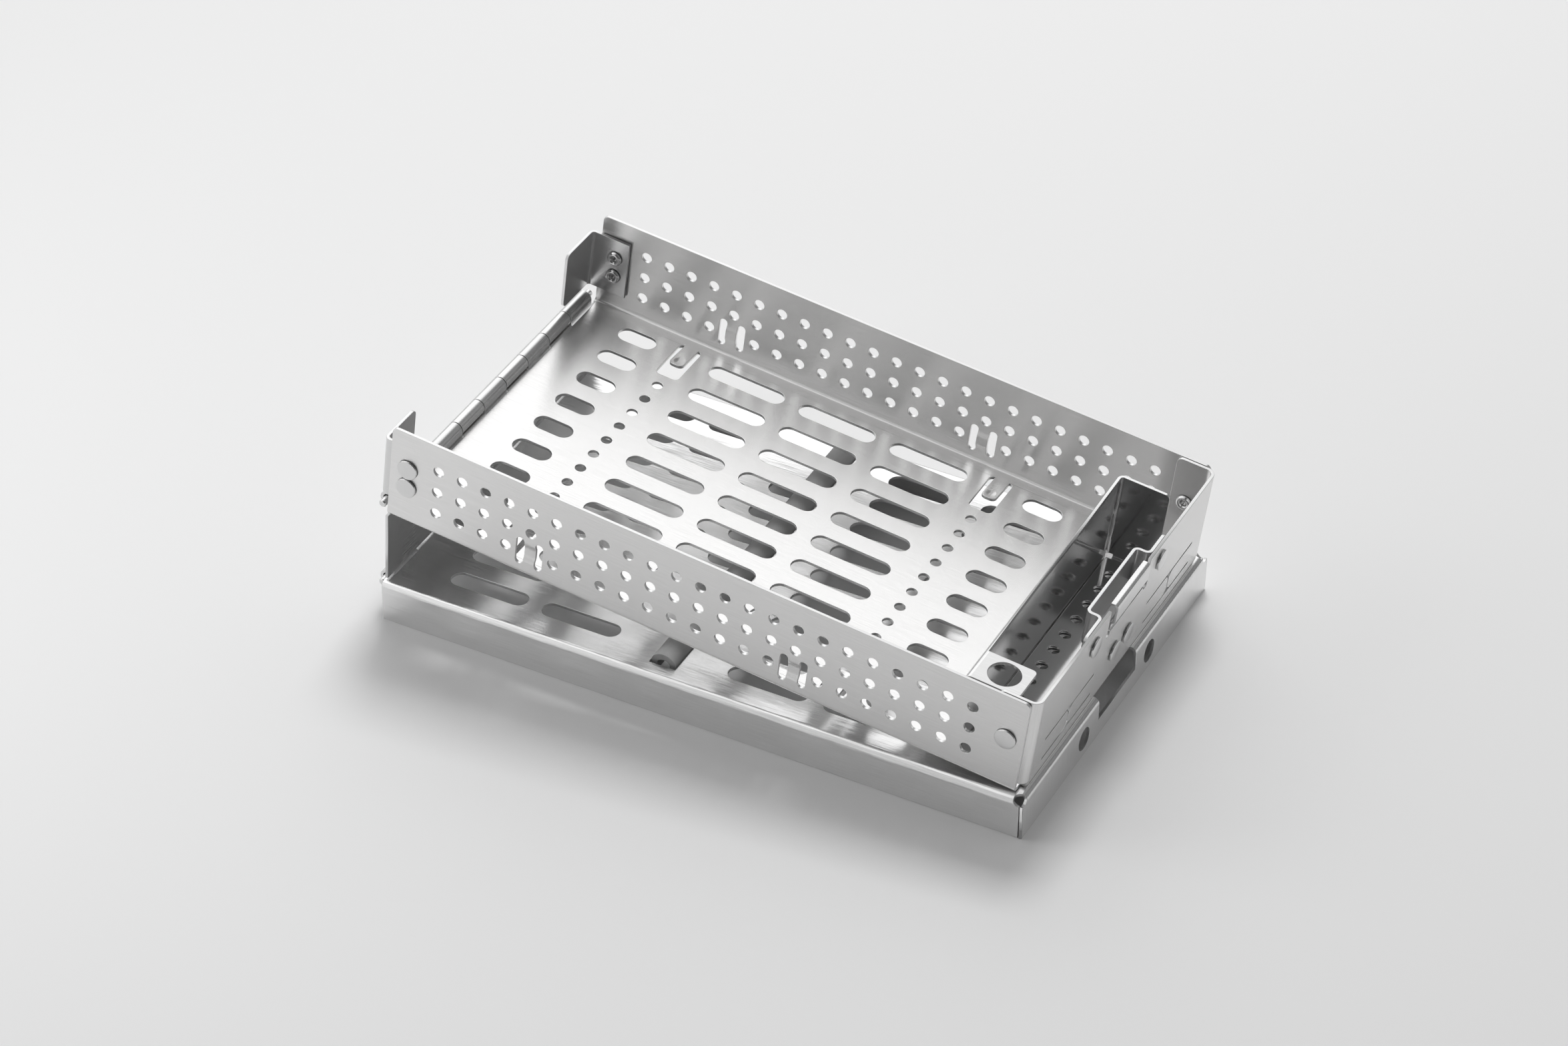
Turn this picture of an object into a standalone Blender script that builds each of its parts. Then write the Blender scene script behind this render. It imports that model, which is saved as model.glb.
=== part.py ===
"""Dental instrument cassette: a perforated folded-sheet tray, a slotted lid and a linking end panel.

The cassette stands open on its lid. The lid lies flat, the end panel stands on the lid's hinge, and
the tray hangs from the panel's other hinge with its far end resting on the lid.
Lengths are metres, +Z is up, and the origin is on the table under the middle of the footprint.
"""
import math

import bmesh
import bpy
import numpy as np
from mathutils import Matrix, Vector
from mathutils.geometry import delaunay_2d_cdt

# Sheet metal stock and the clearances that the pieces share
SHEET = 0.0010
LEAF_SHEET = 0.0008
INNER_RADIUS = 0.0010
SEAT_GAP = 0.0003
PITCH = 0.0080
CUT_OVERRUN = 0.0010

# Tray: a floor with three walls, open at the hinge end
TRAY_WIDTH = 0.1264
TRAY_HEIGHT = 0.0342
TRAY_REACH = 0.2138
WALL_START = 0.0023
WALL_CORNER = 0.0018
END_CORNER_RADIUS = 0.0030
END_FLANGE = 0.0127

# Round holes of the two long walls, on the common pitch
WALL_HOLE = 0.0035
WALL_FIRST_COLUMN = 0.0186
WALL_LAST_MARGIN = 0.0150
WALL_LOW_ROW = 0.0063
WALL_TOP_MARGIN = 0.0050
PAIR_FROM_RAIL = 0.0106
PAIR_SLOT_WIDTH = 0.0026
PAIR_SLOT_LOW = 0.0015
PAIR_SLOT_HIGH = 0.0114
PAIR_HALF_SPACING = 0.0032
PAIR_PRESS = 0.0007
PAIR_PRESS_INSET = 0.0024

# Slots of the floor and of the lid
SLOT_WIDTH = 0.0064
SLOT_ROW_PITCH = 0.0131
SLOT_SIDE_MARGIN = 0.0090
LONG_SLOT = 0.0263
LONG_SLOT_BRIDGE = 0.0050
LONG_FROM_RAIL = 0.0096
FLOOR_SHORT_SLOT = 0.0130
SHORT_FROM_RAIL = 0.0099
LID_FIRST_SLOT = 0.0188
LID_SLOT_PITCH = 0.0316
LID_SLOT_MARGIN = 0.0080

# Small holes that take rails, and the sprung tongues at the ends of their rows
RAIL_HOLE = 0.0034
RAIL_NEAR_COLUMN = 0.0395
RAIL_FAR_INSET = 0.0650
RAIL_HOLE_MARGIN = 0.0040
DIVIDER_HOLE_INSET = 0.0169
WINDOW_WIDTH = 0.0078
WINDOW_LENGTH = 0.0166
WINDOW_SIDE_MARGIN = 0.0052
WINDOW_CORNER = 0.0016
TONGUE_WIDTH = 0.0050
TONGUE_LENGTH = 0.0110
TONGUE_RADIUS = 0.0100
TONGUE_ANGLE = math.radians(5.0)

# End wall: latch cut-out and the two pairs of lanced tongues
CUTOUT_HALF = 0.01375
CUTOUT_DEPTH = 0.0093
CUTOUT_RELIEF = 0.0030
LANCE_INNER = 0.0185
LANCE_SIDE_MARGIN = 0.0117
LANCE_LOW = 0.0034
LANCE_HIGH = 0.0105
LANCE_SLIT = 0.0008

# Hinges: rolled knuckles round a pin
KNUCKLE_PITCH = 0.0132
KNUCKLE_SIDE_MARGIN = 0.0030
KNUCKLE_GAP = 0.0003
PIN_RADIUS = 0.0012
PIN_CHAMFER = 0.0003
PIN_END_INSET = 0.0007
PIN_GAP = 0.0003
NOTCH_GAP = 0.0007
ROLL_ANGLE = math.radians(295.0)
PANEL_LEAN = math.radians(3.5)
PANEL_SIDE_GAP = 0.0002

# Lid
LID_CLEARANCE = 0.0009
LID_END_CLEARANCE = 0.0005
LID_HEIGHT = 0.0140
LID_SIDE_START = 0.0015
LID_RELIEF_HOLE = 0.0042
LID_RELIEF_OUT = 0.0008
LID_WINDOW_HALF = 0.0130
LID_WINDOW_DROP = 0.0080
LID_WINDOW_INSET = 0.0055
LID_RIVET_HOLE = 0.0074

# Hold-down rail of the lid
RAIL_WIDTH = 0.0082
RAIL_RISE = 0.0034
RAIL_WALL = 0.0020
RAIL_FOOT = 0.0012
RAIL_FOOT_HEIGHT = 0.0015
RAIL_SIDE_MARGIN = 0.0056
RAIL_END_GAP = 0.0006

# Rivets
RIVET_HEAD = 0.0066
RIVET_HEAD_HEIGHT = 0.0006
RIVET_SHANK = 0.0032
RIVET_ROLL = 0.0050
RIVET_ROLL_HEIGHT = 0.0009
RIVET_BORE = 0.0020
RIVET_BORE_DEPTH = 0.0016

# Corner brackets at the open end of the walls
BRACKET_LOW = 0.0044
BRACKET_DROP = 0.0065
BRACKET_FACE = 0.0012
BRACKET_REACH = 0.0129
BRACKET_INWARD = 0.0170
BRACKET_CORNER = 0.0020
BRACKET_RIVET_AHEAD = 0.0083
BRACKET_RIVET_PITCH = 0.0069

# Rivets of the end wall's side flanges
CORNER_RIVET_INSET = 0.0079
CORNER_RIVET_DROP = 0.0154

# Hat bracket behind the latch
HAT_LEG = 0.0173
HAT_FLANGE_END = 0.0280
HAT_DEPTH = 0.0045
HAT_DROP = 0.0006
HAT_WIDTH = 0.0124
HAT_CORNER = 0.0020
HAT_RIVET_SIDE = 0.0230
HAT_RIVET_DROP = 0.0067

# Latch leaf
LEAF_HALF = 0.0113
LEAF_LOW = 0.0055
LEAF_STEP_DROP = 0.0026
LEAF_STEP = 0.0011
LEAF_LIP_DROP = 0.0079
LEAF_LIP_STEP = 0.0012
LEAF_PROUD = 0.0008
LEAF_HEM = 0.0012
LEAF_BEND_RADIUS = 0.0005
LEAF_CORNER = 0.0015
LEAF_RIVET_SIDE = 0.00475
LEAF_RIVET_HEIGHT = 0.0097
LEAF_STEP_ANGLE = math.radians(50.0)

# Accessory divider at the latch end
DIVIDER_INSET = 0.0242
DIVIDER_DROP = 0.0009
DIVIDER_NEAR_MARGIN = 0.0024
DIVIDER_FAR_MARGIN = 0.0184
DIVIDER_FLANGE = 0.0168
DIVIDER_PLATE = 0.0204
DIVIDER_CORNER = 0.0030
RING_TAB_LENGTH = 0.0126
RING_TAB_REACH = 0.0172
RING_TAB_CORNER = 0.0015
RING_HOLE = 0.0100

# Counts of sides and steps
RAIL_SLOT_COLUMN = 2
HOLE_SIDES = 8
RAIL_HOLE_SIDES = 6
SLOT_END_STEPS = 3
CORNER_STEPS = 3
BEND_STEPS = 3
ROLL_STEPS = 8
TURN_STEPS = 8
ARCH_STEPS = 10

# Sizes that follow from those above
MID = SHEET / 2
OUTER_RADIUS = INNER_RADIUS + SHEET
NEUTRAL = INNER_RADIUS + MID
BARREL = PIN_RADIUS + PIN_GAP + SHEET
BARREL_NEUTRAL = BARREL - MID
QUARTER = math.pi / 2
QUARTER_LENGTH = NEUTRAL * QUARTER
WALL_FACE = TRAY_WIDTH / 2
WALL_BEND = WALL_FACE - OUTER_RADIUS
FLOOR_BOTTOM = -BARREL
FLOOR_TOP = FLOOR_BOTTOM + SHEET
WALL_TOP = FLOOR_BOTTOM + TRAY_HEIGHT
BEND_TOP = FLOOR_BOTTOM + OUTER_RADIUS
END_BEND = TRAY_REACH - OUTER_RADIUS
NOTCH = BARREL + NOTCH_GAP
KNUCKLES = 1 + 2 * int((WALL_FACE - KNUCKLE_SIDE_MARGIN) / KNUCKLE_PITCH - 1 / 2)
HINGE_HALF = KNUCKLES * KNUCKLE_PITCH / 2
PANEL_LENGTH = WALL_TOP + SEAT_GAP - (BARREL - SHEET)
PANEL_HALF = WALL_FACE - PANEL_SIDE_GAP
LID_FACE = WALL_FACE + LID_CLEARANCE + SHEET
LID_BEND = LID_FACE - OUTER_RADIUS
LID_REACH = TRAY_REACH + LID_END_CLEARANCE + SHEET
LID_END_BEND = LID_REACH - OUTER_RADIUS
LID_SKIRT = LID_HEIGHT - OUTER_RADIUS
LID_SIDE_END = LID_END_BEND + INNER_RADIUS - SEAT_GAP
LID_BOTTOM = BARREL - LID_HEIGHT
RIVET_HOLE = RIVET_SHANK + 2 * SEAT_GAP
LEAF_MID = LEAF_SHEET / 2
LEAF_PLANE = TRAY_REACH - SHEET - SEAT_GAP - LEAF_MID
RAIL_CENTRE = LID_FIRST_SLOT + RAIL_SLOT_COLUMN * LID_SLOT_PITCH + LONG_SLOT / 2
RAIL_HALF_LENGTH = LID_FACE - RAIL_SIDE_MARGIN

# Patterns, each as many as fit, and pieces that follow the walls
WALL_COLUMNS = 1 + int((TRAY_REACH - WALL_LAST_MARGIN - WALL_FIRST_COLUMN) / PITCH)
WALL_ROWS = 1 + int((WALL_TOP - WALL_TOP_MARGIN - WALL_LOW_ROW) / PITCH)
SIDE_SLOT_ROWS = int((WALL_FACE - SLOT_SIDE_MARGIN) / SLOT_ROW_PITCH)
LID_SLOT_ROOM = LID_REACH - LID_SLOT_MARGIN - LONG_SLOT - LID_FIRST_SLOT
LID_SLOT_COLUMNS = 1 + int(LID_SLOT_ROOM / LID_SLOT_PITCH)
RAIL_FAR_COLUMN = TRAY_REACH - RAIL_FAR_INSET
RAIL_HOLE_COLUMNS = (RAIL_NEAR_COLUMN, RAIL_FAR_COLUMN)
SHORT_STARTS = (RAIL_NEAR_COLUMN - SHORT_FROM_RAIL - FLOOR_SHORT_SLOT, RAIL_FAR_COLUMN + SHORT_FROM_RAIL)
SLOT_PAIR_COLUMNS = (
    round((RAIL_NEAR_COLUMN + PAIR_FROM_RAIL - WALL_FIRST_COLUMN) / PITCH),
    round((RAIL_FAR_COLUMN - PAIR_FROM_RAIL - WALL_FIRST_COLUMN) / PITCH),
)
WINDOW_OUTER = WALL_FACE - WINDOW_SIDE_MARGIN
WINDOW_INNER = WINDOW_OUTER - WINDOW_LENGTH
TONGUE_TIP = WINDOW_OUTER - TONGUE_LENGTH
RAIL_HOLES = 2 * round((WINDOW_INNER - RAIL_HOLE_MARGIN) / PITCH)
DIVIDER_HOLE_COLUMN = TRAY_REACH - DIVIDER_HOLE_INSET
LANCE_OUTER = WALL_FACE - LANCE_SIDE_MARGIN
BRACKET_HIGH = WALL_TOP - BRACKET_DROP
BRACKET_MIDDLE = (BRACKET_LOW + BRACKET_HIGH) / 2
BRACKET_RIVET_HEIGHTS = (BRACKET_MIDDLE - BRACKET_RIVET_PITCH / 2, BRACKET_MIDDLE + BRACKET_RIVET_PITCH / 2)
CORNER_RIVET_HEIGHT = WALL_TOP - CORNER_RIVET_DROP
HAT_HIGH = WALL_TOP - HAT_DROP
HAT_LOW = HAT_HIGH - HAT_WIDTH
HAT_RIVET_HEIGHT = WALL_TOP - HAT_RIVET_DROP
LEAF_TOP = WALL_TOP + LEAF_PROUD
LEAF_LIP_HEIGHT = LEAF_TOP - LEAF_LIP_DROP
LEAF_STEP_HEIGHT = LEAF_LIP_HEIGHT - LEAF_STEP_DROP
DIVIDER_FACE = TRAY_REACH - DIVIDER_INSET
DIVIDER_TOP = WALL_TOP - DIVIDER_DROP
DIVIDER_NEAR = WALL_FACE - DIVIDER_NEAR_MARGIN
DIVIDER_PLATE_NEAR = DIVIDER_NEAR - SEAT_GAP
DIVIDER_FAR = WALL_FACE - DIVIDER_FAR_MARGIN


def resting_tilt():
    """Tilt of the tray that sets the bend at its far end on the lid's top face."""
    ahead = END_BEND - PANEL_LENGTH * math.sin(PANEL_LEAN)
    above = BEND_TOP + PANEL_LENGTH * math.cos(PANEL_LEAN)
    rest = BARREL + OUTER_RADIUS + SEAT_GAP
    return math.acos(rest / math.hypot(ahead, above)) - math.atan2(ahead, above)


TILT = resting_tilt()


def clear_scene():
    """Remove whatever the scene holds."""
    for thing in list(bpy.data.objects):
        bpy.data.objects.remove(thing, do_unlink=True)


def finish(name, colour, roughness, metallic):
    """A plain Principled material."""
    material = bpy.data.materials.new(name)
    material.use_nodes = True
    shader = material.node_tree.nodes["Principled BSDF"]
    shader.inputs["Base Color"].default_value = (*colour, 1)
    shader.inputs["Roughness"].default_value = roughness
    shader.inputs["Metallic"].default_value = metallic
    return material


def axis_empty(name, parent, location, turn):
    """An empty on a joint's axis, turned about Y."""
    empty = bpy.data.objects.new(name, None)
    empty.empty_display_size = BARREL
    empty.parent = parent
    empty.location = location
    empty.rotation_euler = (0, turn, 0)
    bpy.context.scene.collection.objects.link(empty)
    return empty


def finished_object(name, mesh_builder, parent, material):
    """Turn a bmesh into a named object with outward faces and smooth round stretches."""
    bmesh.ops.recalc_face_normals(mesh_builder, faces=mesh_builder.faces)
    mesh = bpy.data.meshes.new(name)
    mesh_builder.to_mesh(mesh)
    mesh_builder.free()
    mesh.materials.append(material)
    mesh.shade_smooth()
    mesh.set_sharp_from_angle(angle=math.radians(50))
    thing = bpy.data.objects.new(name, mesh)
    thing.parent = parent
    bpy.context.scene.collection.objects.link(thing)
    return thing


# Outlines on the flat blank, each a list of (x, y) points


def rectangle(x0, x1, y0, y1):
    """A plain rectangle."""
    return [(x0, y0), (x1, y0), (x1, y1), (x0, y1)]


def arc(centre, radius, start, end, steps):
    """Points on an arc, both ends included, with angles in radians."""
    angles = np.linspace(start, end, steps + 1)
    return [(centre[0] + radius * math.cos(a), centre[1] + radius * math.sin(a)) for a in angles]


def disc(x, y, diameter, sides=HOLE_SIDES):
    """A round hole with the given count of sides."""
    half_side = math.pi / sides
    return arc((x, y), diameter / 2, half_side, 2 * math.pi - half_side, sides - 1)


def slot(x0, x1, y, width):
    """A slot along X from x0 to x1, with round ends."""
    radius = width / 2
    right = arc((x1 - radius, y), radius, -QUARTER, QUARTER, SLOT_END_STEPS)
    left = arc((x0 + radius, y), radius, QUARTER, 3 * QUARTER, SLOT_END_STEPS)
    return right + left


def upright_slot(x, y0, y1, width):
    """The same slot along Y."""
    return [(x + across, along) for along, across in slot(y0, y1, 0, width)]


def rounded(x0, x1, y0, y1, radius, corners="abcd"):
    """A rectangle with the named corners rounded: a low left, b low right, c high right, d high left."""
    places = {
        "a": ((x0, y0), (x0 + radius, y0 + radius), 2 * QUARTER),
        "b": ((x1, y0), (x1 - radius, y0 + radius), 3 * QUARTER),
        "c": ((x1, y1), (x1 - radius, y1 - radius), 4 * QUARTER),
        "d": ((x0, y1), (x0 + radius, y1 - radius), 5 * QUARTER),
    }
    points = []
    for key, (sharp, centre, start) in places.items():
        if key in corners:
            points += arc(centre, radius, start, start + QUARTER, CORNER_STEPS)
        else:
            points.append(sharp)
    return points


def mirrored(outline):
    """The outline on the other side of the centre line."""
    return [(x, -y) for x, y in outline]


def both_sides(outlines):
    """Each outline and its mirror image."""
    return outlines + [mirrored(outline) for outline in outlines]


# Folding


class Bend:
    """A bend of the blank: it starts on a line, rolls towards one face, and turns by an angle."""

    def __init__(self, start, across, toward, neutral, angle, chosen, steps=BEND_STEPS):
        self.start = np.array(start, float)
        self.across = np.array(across, float)
        self.toward = np.array(toward, float)
        self.neutral = neutral
        self.angle = angle
        self.chosen = chosen
        self.steps = steps

    def creases(self):
        """The lines, given as a point and the way across, where the blank is divided."""
        length = self.neutral * self.angle
        return [(self.start + self.across * length * k / self.steps)[:2] for k in range(self.steps + 1)]

    def apply(self, points, flat):
        """Roll the chosen points: inside the bend round its axis, past it as one rigid flap."""
        length = self.neutral * self.angle
        along = (flat - self.start) @ self.across
        inside = self.chosen(flat) & (along > 0) & (along <= length)
        beyond = self.chosen(flat) & (along > length)
        turn = np.clip(along / self.neutral, 0, self.angle)[:, None]
        relative = points - self.start
        reach = (relative @ self.across)[:, None]
        height = (relative @ self.toward)[:, None]
        rest = relative - reach * self.across - height * self.toward
        spoke = np.sin(turn) * self.across - np.cos(turn) * self.toward
        path = np.cos(turn) * self.across + np.sin(turn) * self.toward
        rolled = self.start + rest + self.toward * self.neutral + spoke * (self.neutral - height)
        flapped = rolled + path * (reach - length)
        out = points.copy()
        out[inside] = rolled[inside]
        out[beyond] = flapped[beyond]
        return out


def covered(points, outline):
    """Whether each point lies inside the outline, by the even-odd rule."""
    ring = np.array(outline)
    following = np.roll(ring, -1, axis=0)
    inside = np.zeros(len(points), bool)
    for (x0, y0), (x1, y1) in zip(ring, following):
        if y0 == y1:
            continue
        spans = (points[:, 1] < y0) != (points[:, 1] < y1)
        crossing = x0 + (points[:, 1] - y0) * (x1 - x0) / (y1 - y0)
        inside ^= spans & (points[:, 0] < crossing)
    return inside


def divided_blank(plates, cuts, patches, lines):
    """Triangles of the plates less the cuts plus the patches, divided along the crease lines."""
    corners = []
    edges = []
    for outline in plates + cuts + patches:
        first = len(corners)
        count = len(outline)
        corners += outline
        edges += [(first + i, first + (i + 1) % count) for i in range(count)]
    for line in lines:
        edges.append((len(corners), len(corners) + 1))
        corners += line
    merge = SHEET / 5000
    flat, _, faces, _, _, _ = delaunay_2d_cdt([Vector(c) for c in corners], edges, [], 0, merge)
    flat = np.array([tuple(v) for v in flat])
    faces = np.array([tuple(f) for f in faces])
    centres = flat[faces].mean(axis=1)
    kept = np.zeros(len(faces), bool)
    for outline in plates:
        kept |= covered(centres, outline)
    for outline in cuts:
        kept &= ~covered(centres, outline)
    for outline in patches:
        kept |= covered(centres, outline)
    return flat, faces[kept]


def sheet_body(plates, cuts, bends, thickness, middle=0.0, patches=(), lines=(), press=None):
    """A blank with its thickness, folded by each bend in turn, outermost first."""
    outlines = np.array([point for outline in plates for point in outline])
    low = outlines.min(axis=0) - CUT_OVERRUN
    high = outlines.max(axis=0) + CUT_OVERRUN
    crease_lines = list(lines)
    for bend in bends:
        for place in bend.creases():
            if bend.across[0]:
                crease_lines.append([(place[0], low[1]), (place[0], high[1])])
            else:
                crease_lines.append([(low[0], place[1]), (high[0], place[1])])
    flat, faces = divided_blank(plates, cuts, list(patches), crease_lines)
    builder = bmesh.new()
    corners = [builder.verts.new((x, y, middle - thickness / 2)) for x, y in flat]
    for face in faces:
        builder.faces.new([corners[i] for i in face])
    loose = [v for v in builder.verts if not v.link_faces]
    bmesh.ops.delete(builder, geom=loose, context="VERTS")
    grown = bmesh.ops.extrude_face_region(builder, geom=builder.faces[:])
    lifted = [v for v in grown["geom"] if isinstance(v, bmesh.types.BMVert)]
    bmesh.ops.translate(builder, verts=lifted, vec=(0, 0, thickness))
    builder.verts.ensure_lookup_table()
    flat_points = np.array([tuple(v.co) for v in builder.verts])
    points = flat_points.copy()
    if press is not None:
        points = press(points)
    for bend in bends:
        points = bend.apply(points, flat_points)
    for vert, point in zip(builder.verts, points):
        vert.co = point
    return builder


def knuckle_tabs(numbers, edge, end):
    """The strips that roll into knuckles, from the blank's edge out to their ends."""
    tabs = []
    half = (KNUCKLE_PITCH - KNUCKLE_GAP) / 2
    for number in numbers:
        centre = (number - (KNUCKLES + 1) / 2) * KNUCKLE_PITCH
        tabs.append(rectangle(min(edge, end), max(edge, end), centre - half, centre + half))
    return tabs


ODD_KNUCKLES = range(1, KNUCKLES + 1, 2)
EVEN_KNUCKLES = range(2, KNUCKLES, 2)
ROLL_LENGTH = BARREL_NEUTRAL * ROLL_ANGLE


def slot_rows():
    """The rows' places across the tray or the lid."""
    return [row * SLOT_ROW_PITCH for row in range(-SIDE_SLOT_ROWS, SIDE_SLOT_ROWS + 1)]


def rail_slot_rows():
    """The rows under the lid's rail: half a pitch aside and fewer, so its ends lie on plain sheet."""
    return [(row + 1 / 2) * SLOT_ROW_PITCH for row in range(1 - SIDE_SLOT_ROWS, SIDE_SLOT_ROWS - 1)]


def long_slot_starts():
    """Where the floor's long slots start, as many as fit between the two rows of rail holes."""
    first = RAIL_NEAR_COLUMN + LONG_FROM_RAIL
    last = RAIL_FAR_COLUMN - LONG_FROM_RAIL - LONG_SLOT
    count = 1 + max(0, int((last - first) / (LONG_SLOT + LONG_SLOT_BRIDGE)))
    return np.linspace(first, last, count)


def rail_hole_places():
    """The places of a row of rail holes across the tray."""
    return [(i - (RAIL_HOLES - 1) / 2) * PITCH for i in range(RAIL_HOLES)]


def hole_row(x):
    """A row of rail holes across the tray at one place along it."""
    return [disc(x, y, RAIL_HOLE, RAIL_HOLE_SIDES) for y in rail_hole_places()]


# Tray


def wall_y(height):
    """Place on the blank, across the tray, of a height on a long wall."""
    return WALL_BEND + QUARTER_LENGTH + height - BEND_TOP


def end_x(height):
    """Place on the blank, along the tray, of a height on the end wall."""
    return END_BEND + QUARTER_LENGTH + height - BEND_TOP


def wall_column(index):
    """Place along the tray of a column of wall holes."""
    return WALL_FIRST_COLUMN + index * PITCH


def wall_cuts():
    """Holes of one long wall: three rows, with two pairs of slots in the lowest."""
    cuts = []
    for column in range(WALL_COLUMNS):
        for row in range(WALL_ROWS):
            if row == 0 and column in SLOT_PAIR_COLUMNS:
                continue
            cuts.append(disc(wall_column(column), wall_y(WALL_LOW_ROW + row * PITCH), WALL_HOLE))
    for column in SLOT_PAIR_COLUMNS:
        for side in (-1, 1):
            x = wall_column(column) + side * PAIR_HALF_SPACING
            cuts.append(upright_slot(x, wall_y(PAIR_SLOT_LOW), wall_y(PAIR_SLOT_HIGH), PAIR_SLOT_WIDTH))
    for height in BRACKET_RIVET_HEIGHTS:
        cuts.append(disc(BRACKET_RIVET_AHEAD, wall_y(height), RIVET_HOLE))
    cuts.append(disc(TRAY_REACH - CORNER_RIVET_INSET, wall_y(CORNER_RIVET_HEIGHT), RIVET_HOLE))
    return cuts


def bridge_heights():
    """Where the strip between two wall slots starts and stops standing inwards."""
    return wall_y(PAIR_SLOT_LOW + PAIR_PRESS_INSET), wall_y(PAIR_SLOT_HIGH - PAIR_PRESS_INSET)


def bridge_lines():
    """Creases across the pressed strips of both walls."""
    lines = []
    for column in SLOT_PAIR_COLUMNS:
        x = wall_column(column)
        for y in bridge_heights():
            for side in (-1, 1):
                start = (x - PAIR_HALF_SPACING, side * y)
                lines.append([start, (x + PAIR_HALF_SPACING, side * y)])
    return lines


def press_bridges(points):
    """Push the strips between the paired slots towards the inside of the tray."""
    low, high = bridge_heights()
    out = points.copy()
    for column in SLOT_PAIR_COLUMNS:
        near_x = np.abs(points[:, 0] - wall_column(column)) < PAIR_HALF_SPACING - PAIR_SLOT_WIDTH / 4
        across = np.abs(points[:, 1])
        between = (across > low - CUT_OVERRUN / 5) & (across < high + CUT_OVERRUN / 5)
        out[near_x & between, 2] += PAIR_PRESS
    return out


def lance_pair():
    """An H-shaped cut that frees two tongues, tip to tip, in the end wall."""
    low = end_x(LANCE_LOW)
    high = end_x(LANCE_HIGH)
    half = LANCE_SLIT / 2
    centre = (LANCE_INNER + LANCE_OUTER) / 2
    return [
        rectangle(low - half, low + half, LANCE_INNER, LANCE_OUTER),
        rectangle(high - half, high + half, LANCE_INNER, LANCE_OUTER),
        rectangle(low, high, centre - half, centre + half),
    ]


def floor_window(x):
    """The window at the far end of a row of rail holes, which frees a tongue."""
    half = WINDOW_WIDTH / 2
    return rounded(x - half, x + half, WINDOW_INNER, WINDOW_OUTER, WINDOW_CORNER)


def floor_tongue(x):
    """The sprung tongue in that window, rooted at the wall's side."""
    half = TONGUE_WIDTH / 2
    return rectangle(x - half, x + half, TONGUE_TIP, WINDOW_OUTER + CUT_OVERRUN)


def build_tray(parent, material):
    """The perforated floor, the two long walls and the end wall, folded from one blank."""
    wall_end = END_BEND - SEAT_GAP
    flange_bend = WALL_FACE - SHEET - SEAT_GAP - END_CORNER_RADIUS
    corner_neutral = END_CORNER_RADIUS - MID
    flange_length = corner_neutral * QUARTER + END_FLANGE - END_CORNER_RADIUS
    flange_low = SEAT_GAP
    wall = rounded(WALL_START, wall_end, WALL_BEND, wall_y(WALL_TOP), WALL_CORNER, "cd")
    flange_end = flange_bend + flange_length
    flange = rounded(end_x(flange_low), end_x(WALL_TOP), flange_bend, flange_end, WALL_CORNER, "c")
    plates = [
        rectangle(NOTCH, wall_end, -WALL_BEND, WALL_BEND),
        rectangle(wall_end, end_x(WALL_TOP), -flange_bend, flange_bend),
    ]
    plates += both_sides([wall, flange])
    plates += knuckle_tabs(EVEN_KNUCKLES, NOTCH, -ROLL_LENGTH)
    cuts = both_sides(wall_cuts())
    for y in slot_rows():
        for x in SHORT_STARTS:
            cuts.append(slot(x, x + FLOOR_SHORT_SLOT, y, SLOT_WIDTH))
        for x in long_slot_starts():
            cuts.append(slot(x, x + LONG_SLOT, y, SLOT_WIDTH))
    for x in RAIL_HOLE_COLUMNS:
        cuts += hole_row(x)
        cuts += both_sides([floor_window(x)])
    cuts += hole_row(DIVIDER_HOLE_COLUMN)
    cutout_bottom = end_x(WALL_TOP - CUTOUT_DEPTH)
    cuts.append(rectangle(cutout_bottom, end_x(WALL_TOP) + CUT_OVERRUN, -CUTOUT_HALF, CUTOUT_HALF))
    relief = disc(cutout_bottom, CUTOUT_HALF - CUTOUT_RELIEF / 4, CUTOUT_RELIEF)
    flange_rivet = disc(
        end_x(CORNER_RIVET_HEIGHT),
        flange_end - (END_FLANGE - CORNER_RIVET_INSET),
        RIVET_HOLE,
    )
    hat_rivet = disc(end_x(HAT_RIVET_HEIGHT), HAT_RIVET_SIDE, RIVET_HOLE)
    leaf_rivet = disc(end_x(LEAF_RIVET_HEIGHT), LEAF_RIVET_SIDE, RIVET_HOLE)
    cuts += both_sides([relief, flange_rivet, hat_rivet, leaf_rivet])
    cuts += both_sides(lance_pair())
    patches = both_sides([floor_tongue(x) for x in RAIL_HOLE_COLUMNS])
    level = FLOOR_BOTTOM + MID
    middle_x = END_BEND
    bends = []
    for side in (1, -1):
        bends.append(Bend(
            (0, side * flange_bend, level), (0, side, 0), (0, 0, 1), corner_neutral, QUARTER,
            lambda flat, side=side: (flat[:, 0] > middle_x) & (flat[:, 1] * side > 0),
        ))
        bends.append(Bend(
            (0, side * WALL_BEND, level), (0, side, 0), (0, 0, 1), NEUTRAL, QUARTER,
            lambda flat, side=side: (flat[:, 0] < middle_x) & (flat[:, 1] * side > 0),
        ))
        for x in RAIL_HOLE_COLUMNS:
            bends.append(Bend(
                (0, side * WINDOW_OUTER, level), (0, -side, 0), (0, 0, 1), TONGUE_RADIUS, TONGUE_ANGLE,
                lambda flat, side=side, x=x: on_tongue(flat, side, x), 1,
            ))
    bends.append(Bend(
        (END_BEND, 0, level), (1, 0, 0), (0, 0, 1), NEUTRAL, QUARTER,
        lambda flat: flat[:, 0] > middle_x,
    ))
    bends.append(Bend(
        (0, 0, level), (-1, 0, 0), (0, 0, 1), BARREL_NEUTRAL, ROLL_ANGLE,
        lambda flat: np.abs(flat[:, 1]) < HINGE_HALF, ROLL_STEPS,
    ))
    body = sheet_body(plates, cuts, bends, SHEET, level, patches, bridge_lines(), press_bridges)
    return finished_object("tray_shell", body, parent, material)


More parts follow.
